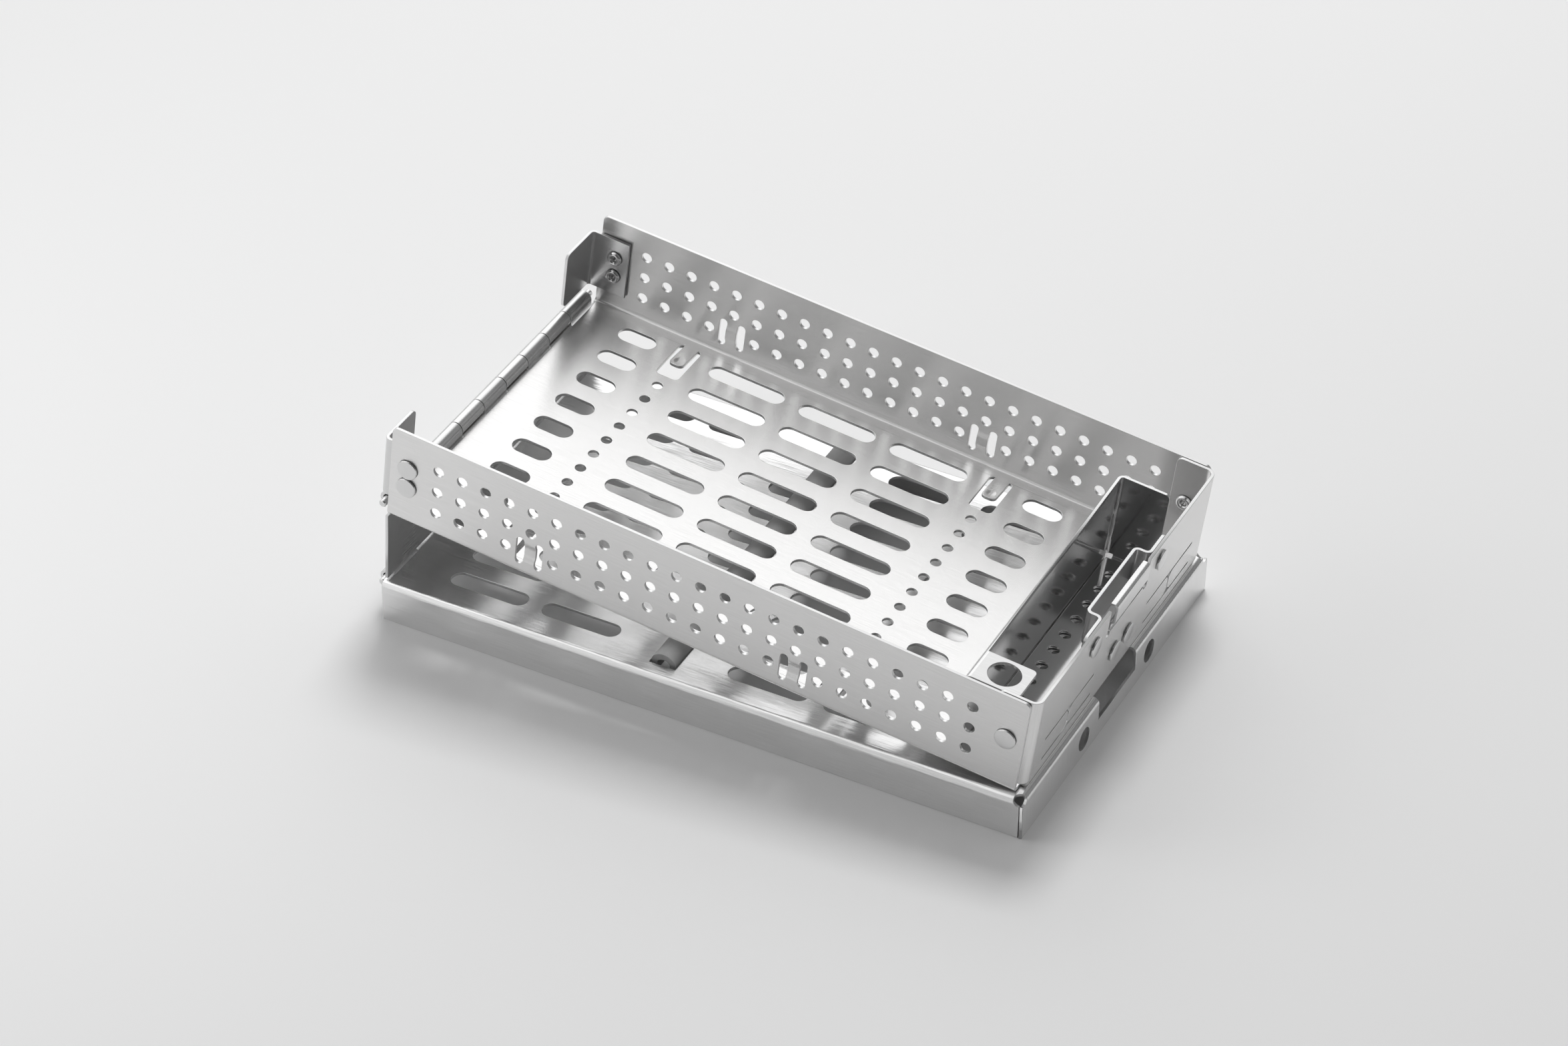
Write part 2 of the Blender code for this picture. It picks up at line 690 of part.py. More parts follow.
def on_tongue(flat, side, x):
    """The points of one floor tongue."""
    beside = np.abs(flat[:, 0] - x) < TONGUE_WIDTH / 2 + CUT_OVERRUN / 10
    across = flat[:, 1] * side
    return beside & (across > TONGUE_TIP - CUT_OVERRUN / 10) & (across < WINDOW_OUTER)


# End panel


def build_panel(parent, material):
    """The plain link between the two hinges, with three-quarter rolls on both edges."""
    plates = [rectangle(NOTCH, PANEL_LENGTH - NOTCH, -PANEL_HALF, PANEL_HALF)]
    plates += knuckle_tabs(ODD_KNUCKLES, NOTCH, -ROLL_LENGTH)
    plates += knuckle_tabs(ODD_KNUCKLES, PANEL_LENGTH - NOTCH, PANEL_LENGTH + ROLL_LENGTH)
    level = BARREL - MID
    half_way = PANEL_LENGTH / 2
    bends = [
        Bend(
            (0, 0, level), (-1, 0, 0), (0, 0, -1), BARREL_NEUTRAL, ROLL_ANGLE,
            lambda flat: flat[:, 0] < half_way, ROLL_STEPS,
        ),
        Bend(
            (PANEL_LENGTH, 0, level), (1, 0, 0), (0, 0, -1), BARREL_NEUTRAL, ROLL_ANGLE,
            lambda flat: flat[:, 0] > half_way, ROLL_STEPS,
        ),
    ]
    body = sheet_body(plates, [], bends, SHEET, level)
    return finished_object("end_panel", body, parent, material)


# Lid


def lid_end_x(drop):
    """Place on the blank of a depth below the lid's top face, down its end skirt."""
    return LID_END_BEND + QUARTER_LENGTH + drop - OUTER_RADIUS


def build_lid(parent, material):
    """The slotted lid folded from one blank, with an end skirt that covers the side skirts' ends."""
    skirt = QUARTER_LENGTH + LID_SKIRT
    side = rectangle(LID_SIDE_START, LID_SIDE_END, LID_BEND, LID_BEND + skirt)
    plates = [
        rectangle(NOTCH, LID_END_BEND, -LID_BEND, LID_BEND),
        rectangle(LID_END_BEND, LID_END_BEND + skirt, -LID_FACE, LID_FACE),
    ]
    margin = rectangle(LID_SIDE_START, NOTCH, HINGE_HALF + KNUCKLE_GAP, LID_BEND)
    plates += both_sides([side, margin])
    plates += knuckle_tabs(EVEN_KNUCKLES, NOTCH, -ROLL_LENGTH)
    cuts = []
    for column in range(LID_SLOT_COLUMNS):
        x = LID_FIRST_SLOT + column * LID_SLOT_PITCH
        for y in rail_slot_rows() if column == RAIL_SLOT_COLUMN else slot_rows():
            cuts.append(slot(x, x + LONG_SLOT, y, SLOT_WIDTH))
    rail_half = RAIL_WIDTH / 2 + SEAT_GAP
    rail_end = RAIL_HALF_LENGTH + SEAT_GAP
    cuts.append(rectangle(RAIL_CENTRE - rail_half, RAIL_CENTRE + rail_half, -rail_end, rail_end))
    cuts.append(rectangle(
        LID_REACH - LID_WINDOW_INSET, lid_end_x(LID_WINDOW_DROP), -LID_WINDOW_HALF, LID_WINDOW_HALF,
    ))
    relief = disc(LID_END_BEND + LID_RELIEF_OUT, LID_BEND + LID_RELIEF_OUT, LID_RELIEF_HOLE)
    rivet_drop = WALL_TOP + SEAT_GAP + SHEET - HAT_RIVET_HEIGHT
    rivet_eye = disc(lid_end_x(rivet_drop), HAT_RIVET_SIDE, LID_RIVET_HOLE)
    cuts += both_sides([relief, rivet_eye])
    level = BARREL - MID
    bends = []
    for hand in (1, -1):
        bends.append(Bend(
            (0, hand * LID_BEND, level), (0, hand, 0), (0, 0, -1), NEUTRAL, QUARTER,
            lambda flat, hand=hand: flat[:, 1] * hand - LID_BEND > flat[:, 0] - LID_END_BEND,
        ))
    bends.append(Bend(
        (LID_END_BEND, 0, level), (1, 0, 0), (0, 0, -1), NEUTRAL, QUARTER,
        lambda flat: np.abs(flat[:, 1]) - LID_BEND < flat[:, 0] - LID_END_BEND,
    ))
    bends.append(Bend(
        (0, 0, level), (-1, 0, 0), (0, 0, -1), BARREL_NEUTRAL, ROLL_ANGLE,
        lambda flat: np.abs(flat[:, 1]) < HINGE_HALF, ROLL_STEPS,
    ))
    body = sheet_body(plates, cuts, bends, SHEET, level)
    return finished_object("lid_shell", body, parent, material)


def build_rail(parent, material):
    """A half-round hollow rail that stands through the lid, held by two feet inside it."""
    inside = BARREL - SHEET - SEAT_GAP
    outside = BARREL
    half = RAIL_WIDTH / 2
    foot = half + RAIL_FOOT
    bore = half - RAIL_WALL
    top = [
        (RAIL_CENTRE + half * math.cos(a), outside + RAIL_RISE * math.sin(a))
        for a in np.linspace(0, math.pi, ARCH_STEPS + 1)
    ]
    low = inside - RAIL_FOOT_HEIGHT
    hollow = [
        (RAIL_CENTRE - bore * math.cos(a), outside + (RAIL_RISE - RAIL_WALL) * math.sin(a))
        for a in np.linspace(0, math.pi, ARCH_STEPS // 2 + 1)
    ]
    profile = [(RAIL_CENTRE + foot, low), (RAIL_CENTRE + foot, inside), (RAIL_CENTRE + half, inside)]
    profile += top
    profile += [(RAIL_CENTRE - half, inside), (RAIL_CENTRE - foot, inside), (RAIL_CENTRE - foot, low)]
    profile += [(RAIL_CENTRE - bore, low)]
    profile += hollow
    profile += [(RAIL_CENTRE + bore, low)]
    length = RAIL_HALF_LENGTH - RAIL_END_GAP
    return extruded("hold_down_rail", profile, -length, length, parent, material)


def extruded(name, profile, y0, y1, parent, material):
    """A profile in X and Z carried along Y."""
    builder = bmesh.new()
    corners = [builder.verts.new((x, y0, z)) for x, z in profile]
    face = builder.faces.new(corners)
    grown = bmesh.ops.extrude_face_region(builder, geom=[face])
    lifted = [v for v in grown["geom"] if isinstance(v, bmesh.types.BMVert)]
    bmesh.ops.translate(builder, verts=lifted, vec=(0, y1 - y0, 0))
    bmesh.ops.triangulate(builder, faces=[f for f in builder.faces if len(f.verts) > 4])
    return finished_object(name, builder, parent, material)


# Turned pieces


def turned(builder, profile, place):
    """Spin a profile of (radius, height) points once round Z, and set it in its place."""
    corners = [builder.verts.new((radius, 0, height)) for radius, height in profile]
    edges = [builder.edges.new(pair) for pair in zip(corners, corners[1:])]
    bmesh.ops.spin(
        builder, geom=corners + edges, cent=(0, 0, 0), axis=(0, 0, 1),
        angle=2 * math.pi, steps=TURN_STEPS, use_merge=True,
    )
    fresh = [v for v in builder.verts if not v.tag]
    bmesh.ops.remove_doubles(builder, verts=fresh, dist=SHEET / 1000)
    fresh = [v for v in builder.verts if not v.tag]
    for vert in fresh:
        vert.co = place @ vert.co
        vert.tag = True


def pin_object(name, half_length, parent, material):
    """A plain hinge pin along Y with chamfered ends."""
    profile = [
        (0, -half_length),
        (PIN_RADIUS - PIN_CHAMFER, -half_length),
        (PIN_RADIUS, PIN_CHAMFER - half_length),
        (PIN_RADIUS, half_length - PIN_CHAMFER),
        (PIN_RADIUS - PIN_CHAMFER, half_length),
        (0, half_length),
    ]
    builder = bmesh.new()
    turned(builder, profile, Matrix.Rotation(QUARTER, 4, "X"))
    return finished_object(name, builder, parent, material)


def rivet_profile(grip):
    """A semi-tubular rivet: flat head below, rolled end above, with the grip between them."""
    head = RIVET_HEAD / 2
    shank = RIVET_SHANK / 2
    roll = RIVET_ROLL / 2
    bore = RIVET_BORE / 2
    top = grip + RIVET_ROLL_HEIGHT
    return [
        (0, -RIVET_HEAD_HEIGHT),
        (head, -RIVET_HEAD_HEIGHT),
        (head, 0),
        (shank, 0),
        (shank, grip),
        (roll, grip),
        (roll, grip + RIVET_ROLL_HEIGHT / 2),
        ((roll + bore) / 2, top),
        (bore, grip + RIVET_ROLL_HEIGHT / 2),
        (bore, top - RIVET_BORE_DEPTH),
        (0, top - RIVET_BORE_DEPTH),
    ]


def build_rivet(name, seat, inward, grip, parent, material):
    """A rivet whose head lies on the seat, with its shank pointing inward."""
    builder = bmesh.new()
    turn = Vector(inward).to_track_quat("Z", "X").to_matrix().to_4x4()
    turned(builder, rivet_profile(grip), Matrix.Translation(seat) @ turn)
    return finished_object(name, builder, parent, material)


# Brackets, leaf and divider


def set_in_place(builder, matrix):
    """Carry a folded blank from its own plane to its place on the tray."""
    bmesh.ops.transform(builder, matrix=matrix, verts=builder.verts)


def frame_of(x_axis, y_axis, z_axis, origin):
    """A matrix from its three axes and its origin."""
    columns = Matrix((x_axis, y_axis, z_axis)).transposed().to_4x4()
    columns.translation = Vector(origin)
    return columns


def build_corner_bracket(name, side, parent, material):
    """An L across the open corner: one leg riveted to the wall, the other facing the hinge."""
    bend_start = NEUTRAL - (BRACKET_FACE - MID)
    end_leg = BRACKET_INWARD - SEAT_GAP - OUTER_RADIUS
    end_place = bend_start - QUARTER_LENGTH - end_leg
    plates = [
        rectangle(bend_start, BRACKET_REACH, BRACKET_LOW, BRACKET_HIGH),
        rounded(end_place, bend_start, BRACKET_LOW, BRACKET_HIGH, BRACKET_CORNER, "ad"),
    ]
    cuts = [disc(BRACKET_RIVET_AHEAD, height, RIVET_HOLE) for height in BRACKET_RIVET_HEIGHTS]
    bends = [Bend(
        (bend_start, 0, 0), (-1, 0, 0), (0, 0, -1), NEUTRAL, QUARTER,
        lambda flat: flat[:, 0] < bend_start,
    )]
    body = sheet_body(plates, cuts, bends, SHEET)
    face = side * (WALL_FACE - SHEET - SEAT_GAP - MID)
    set_in_place(body, frame_of((1, 0, 0), (0, 0, 1), (0, side, 0), (0, face, 0)))
    return finished_object(name, body, parent, material)


def build_hat_bracket(parent, material):
    """The hat-shaped guide behind the latch leaf, riveted to the end wall by two flanges."""
    web = HAT_LEG - MID - NEUTRAL
    leg = HAT_DEPTH - 2 * NEUTRAL
    flange = HAT_FLANGE_END - (HAT_LEG - MID + NEUTRAL)
    first = web
    second = web + QUARTER_LENGTH + leg
    end = second + QUARTER_LENGTH + flange
    plates = [rounded(HAT_LOW, HAT_HIGH, -end, end, HAT_CORNER)]
    rivet = disc(HAT_RIVET_HEIGHT, end - (HAT_FLANGE_END - HAT_RIVET_SIDE), RIVET_HOLE)
    bends = []
    for side in (1, -1):
        bends.append(Bend(
            (0, side * second, 0), (0, side, 0), (0, 0, -1), NEUTRAL, QUARTER,
            lambda flat, side=side: flat[:, 1] * side > second,
        ))
        bends.append(Bend(
            (0, side * first, 0), (0, side, 0), (0, 0, 1), NEUTRAL, QUARTER,
            lambda flat, side=side: flat[:, 1] * side > first,
        ))
    body = sheet_body(plates, both_sides([rivet]), bends, SHEET)
    web_plane = TRAY_REACH - SHEET - SEAT_GAP - MID - HAT_DEPTH
    set_in_place(body, frame_of((0, 0, 1), (0, -1, 0), (1, 0, 0), (web_plane, 0, 0)))
    return finished_object("latch_bracket", body, parent, material)


def build_leaf(parent, material):
    """The sprung latch leaf: riveted at its foot, joggled out to a proud lip with a hemmed top."""
    neutral = LEAF_BEND_RADIUS + LEAF_MID
    joggle = neutral * LEAF_STEP_ANGLE
    ramp_rise = 2 * neutral * (1 - math.cos(LEAF_STEP_ANGLE))
    step_ramp = (LEAF_STEP - ramp_rise) / math.sin(LEAF_STEP_ANGLE)
    lip_ramp = (LEAF_LIP_STEP - ramp_rise) / math.sin(LEAF_STEP_ANGLE)
    ramp_height = 2 * neutral * math.sin(LEAF_STEP_ANGLE)
    step_height = ramp_height + step_ramp * math.cos(LEAF_STEP_ANGLE)
    lip_height = ramp_height + lip_ramp * math.cos(LEAF_STEP_ANGLE)
    step_start = LEAF_STEP_HEIGHT
    step_back = step_start + joggle + step_ramp
    lip_start = step_back + joggle + LEAF_LIP_HEIGHT - LEAF_STEP_HEIGHT - step_height
    lip_back = lip_start + joggle + lip_ramp
    hem_start = lip_back + joggle + LEAF_TOP - LEAF_LIP_HEIGHT - lip_height - neutral - LEAF_MID
    hem_length = neutral * QUARTER
    end = hem_start + hem_length + LEAF_HEM
    plates = [rounded(LEAF_LOW, end, -LEAF_HALF, LEAF_HALF, LEAF_CORNER, "ad")]
    cuts = both_sides([disc(LEAF_RIVET_HEIGHT, LEAF_RIVET_SIDE, RIVET_HOLE)])
    out = (0, 0, 1)
    back = (0, 0, -1)
    bends = [
        leaf_bend(hem_start, back, neutral, QUARTER),
        leaf_bend(lip_back, back, neutral, LEAF_STEP_ANGLE),
        leaf_bend(lip_start, out, neutral, LEAF_STEP_ANGLE),
        leaf_bend(step_back, back, neutral, LEAF_STEP_ANGLE),
        leaf_bend(step_start, out, neutral, LEAF_STEP_ANGLE),
    ]
    body = sheet_body(plates, cuts, bends, LEAF_SHEET)
    set_in_place(body, frame_of((0, 0, 1), (0, -1, 0), (1, 0, 0), (0, 0, -LEAF_RIVET_HEIGHT)))
    return finished_object("latch_leaf", body, parent, material)


def leaf_bend(start, toward, neutral, angle):
    """A bend of the leaf across its whole width."""
    return Bend(
        (start, 0, 0), (1, 0, 0), toward, neutral, angle,
        lambda flat: flat[:, 0] > start,
    )


def build_divider(parent, material):
    """The accessory divider: a cross wall, a flange at its far end, a foot plate and a ring tab."""
    wall_mid = DIVIDER_FACE + MID
    plate_mid = FLOOR_TOP + SEAT_GAP + MID
    foot = plate_mid + NEUTRAL
    top = DIVIDER_TOP - MID - NEUTRAL
    flange_bend = DIVIDER_FAR - OUTER_RADIUS
    flange_start = flange_bend + QUARTER_LENGTH
    flange_end = flange_start + DIVIDER_FLANGE - OUTER_RADIUS
    plate_end = flange_start + DIVIDER_PLATE - OUTER_RADIUS
    plate_depth = DIVIDER_FAR - OUTER_RADIUS + DIVIDER_PLATE_NEAR
    tab_end = top + QUARTER_LENGTH + RING_TAB_REACH - OUTER_RADIUS
    wall_foot = FLOOR_TOP + 2 * SEAT_GAP + SHEET
    clear = flange_start + CUT_OVERRUN
    plates = [
        rectangle(wall_foot, DIVIDER_TOP, RING_TAB_LENGTH - DIVIDER_NEAR, flange_bend),
        rectangle(wall_foot, top, -DIVIDER_NEAR, RING_TAB_LENGTH - DIVIDER_NEAR),
        rounded(top, tab_end, -DIVIDER_NEAR, RING_TAB_LENGTH - DIVIDER_NEAR, RING_TAB_CORNER, "bc"),
        rounded(foot, DIVIDER_TOP, flange_bend, flange_end, DIVIDER_CORNER, "c"),
        rectangle(foot - QUARTER_LENGTH, foot, clear, flange_end),
        rectangle(foot - QUARTER_LENGTH - plate_depth, foot - QUARTER_LENGTH, clear, plate_end),
    ]
    ring_across = RING_TAB_LENGTH / 2 - DIVIDER_NEAR
    cuts = [disc(tab_end - RING_TAB_REACH / 2 + OUTER_RADIUS / 2, ring_across, RING_HOLE, 2 * HOLE_SIDES)]
    column = flange_start + DIVIDER_HOLE_COLUMN - DIVIDER_FACE - OUTER_RADIUS
    for y in rail_hole_places():
        place = foot - QUARTER_LENGTH - (DIVIDER_FAR - OUTER_RADIUS - y)
        cuts.append(disc(place, column, RAIL_HOLE, RAIL_HOLE_SIDES))
    bends = [
        Bend(
            (foot, 0, 0), (-1, 0, 0), (0, 0, 1), NEUTRAL, QUARTER,
            lambda flat: (flat[:, 1] > flange_start) & (flat[:, 0] < foot),
        ),
        Bend(
            (0, flange_bend, 0), (0, 1, 0), (0, 0, 1), NEUTRAL, QUARTER,
            lambda flat: flat[:, 1] > flange_bend,
        ),
        Bend(
            (top, 0, 0), (1, 0, 0), (0, 0, 1), NEUTRAL, QUARTER,
            lambda flat: (flat[:, 0] > top) & (flat[:, 1] < RING_TAB_LENGTH - DIVIDER_NEAR + MID),
        ),
    ]
    body = sheet_body(plates, cuts, bends, SHEET)
    set_in_place(body, frame_of((0, 0, 1), (0, 1, 0), (1, 0, 0), (wall_mid, 0, 0)))
    return finished_object("accessory_divider", body, parent, material)


def main():
    """Build the cassette as it stands open."""
    clear_scene()
    steel = (0.62, 0.62, 0.63)
    bright = (0.72, 0.72, 0.73)
    grey = (0.40, 0.40, 0.41)
    lid_axis_x = PANEL_LENGTH * math.sin(PANEL_LEAN)
    lid_axis_z = -PANEL_LENGTH * math.cos(PANEL_LEAN)
    hinge_x = lid_axis_z * -math.sin(TILT) - lid_axis_x * math.cos(TILT)
    hinge_z = -lid_axis_z * math.cos(TILT) + lid_axis_x * math.sin(TILT)
    lip = (TRAY_REACH - SHEET - SEAT_GAP + LEAF_STEP + LEAF_LIP_STEP, LEAF_TOP - 2 * LEAF_BEND_RADIUS)
    tip = hinge_x + lip[0] * math.cos(TILT) + lip[1] * math.sin(TILT)
    middle = (tip - BARREL) / 2
    tray = axis_empty("tray_frame", None, (hinge_x - middle, 0, hinge_z - LID_BOTTOM), TILT)
    panel = axis_empty("tray_hinge_axis", tray, (0, 0, 0), QUARTER - PANEL_LEAN)
    lid = axis_empty("lid_hinge_axis", panel, (PANEL_LENGTH, 0, 0), PANEL_LEAN - QUARTER - TILT)
    leaf = axis_empty("latch_axis", tray, (LEAF_PLANE, 0, LEAF_RIVET_HEIGHT), 0)

    build_tray(tray, finish("tray_steel", steel, 0.30, 1.0))
    build_corner_bracket("corner_bracket_near", -1, tray, finish("near_bracket_steel", steel, 0.34, 1.0))
    build_corner_bracket("corner_bracket_far", 1, tray, finish("far_bracket_steel", steel, 0.34, 1.0))
    build_hat_bracket(tray, finish("latch_bracket_steel", steel, 0.34, 1.0))
    build_divider(tray, finish("divider_steel", steel, 0.28, 1.0))
    build_leaf(leaf, finish("leaf_steel", bright, 0.26, 1.0))
    build_panel(panel, finish("panel_steel", steel, 0.32, 1.0))
    build_lid(lid, finish("lid_steel", bright, 0.30, 1.0))
    build_rail(lid, finish("rail_silicone", grey, 0.60, 0.0))
    pin_half = PANEL_HALF - PIN_END_INSET
    pin_object("tray_hinge_pin", pin_half, tray, finish("tray_pin_steel", bright, 0.25, 1.0))
    pin_object("lid_hinge_pin", pin_half, panel, finish("lid_pin_steel", bright, 0.25, 1.0))
    bpy.data.objects["lid_hinge_pin"].location = (PANEL_LENGTH, 0, 0)

    wall_grip = 2 * SHEET + 3 * SEAT_GAP
    leaf_grip = SHEET + LEAF_SHEET + 3 * SEAT_GAP
    for side, word in ((-1, "near"), (1, "far")):
        out = side * (WALL_FACE + SEAT_GAP)
        inward = (0, -side, 0)
        for height, level in zip(BRACKET_RIVET_HEIGHTS, ("lower", "upper")):
            metal = finish(f"bracket_rivet_steel_{word}_{level}", bright, 0.30, 1.0)
            seat = (BRACKET_RIVET_AHEAD, out, height)
            build_rivet(f"bracket_rivet_{word}_{level}", seat, inward, wall_grip, tray, metal)
        metal = finish(f"corner_rivet_steel_{word}", bright, 0.30, 1.0)
        seat = (TRAY_REACH - CORNER_RIVET_INSET, out, CORNER_RIVET_HEIGHT)
        build_rivet(f"corner_rivet_{word}", seat, inward, wall_grip, tray, metal)
        out = TRAY_REACH + SEAT_GAP
        inward = (-1, 0, 0)
        metal = finish(f"latch_bracket_rivet_steel_{word}", bright, 0.30, 1.0)
        seat = (out, side * HAT_RIVET_SIDE, HAT_RIVET_HEIGHT)
        build_rivet(f"latch_bracket_rivet_{word}", seat, inward, wall_grip, tray, metal)
        metal = finish(f"latch_leaf_rivet_steel_{word}", bright, 0.30, 1.0)
        seat = (out, side * LEAF_RIVET_SIDE, LEAF_RIVET_HEIGHT)
        build_rivet(f"latch_leaf_rivet_{word}", seat, inward, leaf_grip, tray, metal)


main()
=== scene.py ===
"""Dental instrument cassette, dressed for the picture: folded sheets, rivets, pins and a soft rail.

Every sheet is laid out flat, divided, given its thickness and a rounded cut edge, and then folded.
Sizes here are millimetres in each piece's own frame; meshes are made in metres.
"""
import math

import bpy
import numpy as np
from mathutils import Matrix, Vector
from mathutils.geometry import delaunay_2d_cdt


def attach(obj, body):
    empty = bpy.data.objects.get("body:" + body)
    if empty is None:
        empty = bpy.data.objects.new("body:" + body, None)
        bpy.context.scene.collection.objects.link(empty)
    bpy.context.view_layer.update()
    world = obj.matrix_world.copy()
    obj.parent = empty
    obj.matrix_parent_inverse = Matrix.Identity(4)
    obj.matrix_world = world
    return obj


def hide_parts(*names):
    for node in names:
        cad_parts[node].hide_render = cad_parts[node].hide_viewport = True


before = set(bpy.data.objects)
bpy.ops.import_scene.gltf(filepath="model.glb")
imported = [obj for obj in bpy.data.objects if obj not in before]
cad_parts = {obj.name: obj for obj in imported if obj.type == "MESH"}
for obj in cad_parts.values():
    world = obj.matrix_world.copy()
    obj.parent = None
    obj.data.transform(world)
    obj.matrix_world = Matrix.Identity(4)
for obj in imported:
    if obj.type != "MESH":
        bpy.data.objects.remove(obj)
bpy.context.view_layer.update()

METRES = 0.001
QUARTER = math.pi / 2
UP, DOWN = (0, 0, 1), (0, 0, -1)
SIDES = ((-1, "near"), (1, "far"))

# Sheet stock, bends and clearances
SHEET = 1.0
LEAF_SHEET = 0.8
MID = SHEET / 2
INNER_RADIUS = 1.0
OUTER_RADIUS = INNER_RADIUS + SHEET
NEUTRAL = INNER_RADIUS + MID
QUARTER_LENGTH = NEUTRAL * QUARTER
SEAT_GAP = 0.3
PITCH = 8.0
RIM = 0.13
RIM_STEPS = 2
LEAST_CORNER = 0.35
OVERRUN = 1.0
WELD = SHEET / 5000
SHARP_ANGLE = math.radians(38)

# Tray
TRAY_REACH = 213.8
WALL_FACE = 63.2
WALL_START = 2.3
WALL_CORNER = 1.8
WALL_TOP = 31.7
WALL_BEND = WALL_FACE - OUTER_RADIUS
FLOOR_BOTTOM = -2.5
FLOOR_TOP = -1.5
BEND_TOP = FLOOR_BOTTOM + OUTER_RADIUS
END_BEND = TRAY_REACH - OUTER_RADIUS
END_CORNER_RADIUS = 3.0
END_FLANGE = 12.7
WALL_HOLE = 3.5
WALL_FIRST_COLUMN = 18.6
WALL_COLUMNS = 23
WALL_ROWS = 3
WALL_LOW_ROW = 6.3
PAIR_COLUMNS = (4, 15)
PAIR_WIDTH = 2.6
PAIR_LOW = 1.5
PAIR_HIGH = 11.4
PAIR_HALF_SPACING = 3.2
PAIR_PRESS = 0.7
PAIR_PRESS_INSET = 2.4

# Slots and small holes
SLOT_WIDTH = 6.4
SLOT_ROW_PITCH = 13.1
SIDE_SLOT_ROWS = 4
LONG_SLOT = 26.3
LONG_STARTS = (49.1, 81.0, 112.9)
SHORT_SLOT = 13.0
SHORT_STARTS = (16.6, 158.7)
LID_SLOT_STARTS = tuple(18.8 + 31.6 * k for k in range(6))
RAIL_SLOT_COLUMN = 2
RAIL_HOLE = 3.4
RAIL_HOLE_COLUMNS = (39.5, 148.8)
DIVIDER_HOLE_COLUMN = 196.9
RAIL_HOLES = 10
WINDOW_WIDTH = 7.8
WINDOW_INNER = 41.4
WINDOW_OUTER = 58.0
WINDOW_CORNER = 1.6
TONGUE_WIDTH = 5.0
TONGUE_TIP = 47.0
TONGUE_RADIUS = 10.0
TONGUE_ANGLE = math.radians(5.0)
TONGUE_TIP_CORNER = 1.8
DIMPLE_INSET = 2.6
DIMPLE_ACROSS = 4.0
DIMPLE_ALONG = 5.4
DIMPLE_DEPTH = 0.35

# End wall
CUTOUT_HALF = 13.75
CUTOUT_DEPTH = 9.3
CUTOUT_RELIEF = 3.0
LANCE_INNER = 18.5
LANCE_OUTER = 51.5
LANCE_LOW = 3.4
LANCE_HIGH = 10.5
LANCE_SLIT = 0.7
LANCE_TIP = 2.6

# Hinges
KNUCKLES = 9
KNUCKLE_PITCH = 13.2
KNUCKLE_GAP = 0.3
HINGE_HALF = KNUCKLES * KNUCKLE_PITCH / 2
PIN_RADIUS = 1.2
PIN_CHAMFER = 0.3
PIN_END_INSET = 0.7
BARREL = 2.5
BARREL_NEUTRAL = BARREL - MID
NOTCH = 3.2
ROLL_ANGLE = math.radians(295.0)
ROLL_LENGTH = BARREL_NEUTRAL * ROLL_ANGLE
PANEL_LEAN = math.radians(3.5)
PANEL_LENGTH = 30.5
PANEL_HALF = 63.0
ROLL_POLISH = 0.12

# Lid
LID_FACE = 65.1
LID_BEND = LID_FACE - OUTER_RADIUS
LID_REACH = 215.3
LID_END_BEND = LID_REACH - OUTER_RADIUS
LID_SKIRT = 12.0
LID_SIDE_START = 1.5
LID_SIDE_END = LID_END_BEND + INNER_RADIUS - SEAT_GAP
LID_RELIEF_HOLE = 4.2
LID_RELIEF_OUT = 0.8
LID_WINDOW_HALF = 13.0
LID_WINDOW_DROP = 8.0
LID_WINDOW_INSET = 5.5
LID_RIVET_HOLE = 7.4

# Rail
RAIL_CENTRE = 95.15
RAIL_WIDTH = 8.2
RAIL_RISE = 3.4
RAIL_WALL = 2.0
RAIL_FOOT = 1.2
RAIL_FOOT_HEIGHT = 1.5
RAIL_HALF_LENGTH = 59.5
RAIL_END_GAP = 0.6

# Rivets
RIVET_HEAD = 6.6
RIVET_HEAD_HEIGHT = 0.6
RIVET_SHANK = 3.2
RIVET_HOLE = RIVET_SHANK + 2 * SEAT_GAP
RIVET_ROLL = 5.0
RIVET_ROLL_HEIGHT = 0.9
RIVET_BORE = 2.0
RIVET_BORE_DEPTH = 1.6
RIVET_EDGE = 0.22
RIVET_DOME = 0.12
RIVET_DOME_STEPS = (0, 0.3, 0.6, 0.85)
WALL_GRIP = 2 * SHEET + 3 * SEAT_GAP
LEAF_GRIP = SHEET + LEAF_SHEET + 3 * SEAT_GAP

# Corner brackets
BRACKET_LOW = 4.4
BRACKET_HIGH = 25.2
BRACKET_FACE = 1.2
BRACKET_REACH = 12.9
BRACKET_INWARD = 17.0
BRACKET_CORNER = 2.0
BRACKET_RIVET_AHEAD = 8.3
BRACKET_RIVET_HEIGHTS = (11.35, 18.25)
CORNER_RIVET_INSET = 7.9
CORNER_RIVET_HEIGHT = 16.3

# Hat bracket
HAT_LEG = 17.3
HAT_FLANGE_END = 28.0
HAT_DEPTH = 4.5
HAT_LOW = 18.7
HAT_HIGH = 31.1
HAT_CORNER = 2.0
HAT_RIVET_SIDE = 23.0
HAT_RIVET_HEIGHT = 25.0

# Latch leaf
LEAF_MID = LEAF_SHEET / 2
LEAF_HALF = 11.3
LEAF_LOW = 5.5
LEAF_STEP_HEIGHT = 22.0
LEAF_STEP = 1.1
LEAF_LIP_HEIGHT = 24.6
LEAF_LIP_STEP = 1.2
LEAF_TOP = 32.5
LEAF_HEM = 1.2
LEAF_BEND_RADIUS = 0.5
LEAF_CORNER = 1.5
LEAF_RIVET_SIDE = 4.75
LEAF_RIVET_HEIGHT = 9.7
LEAF_STEP_ANGLE = math.radians(50.0)
LEAF_PLANE = TRAY_REACH - SHEET - SEAT_GAP - LEAF_MID

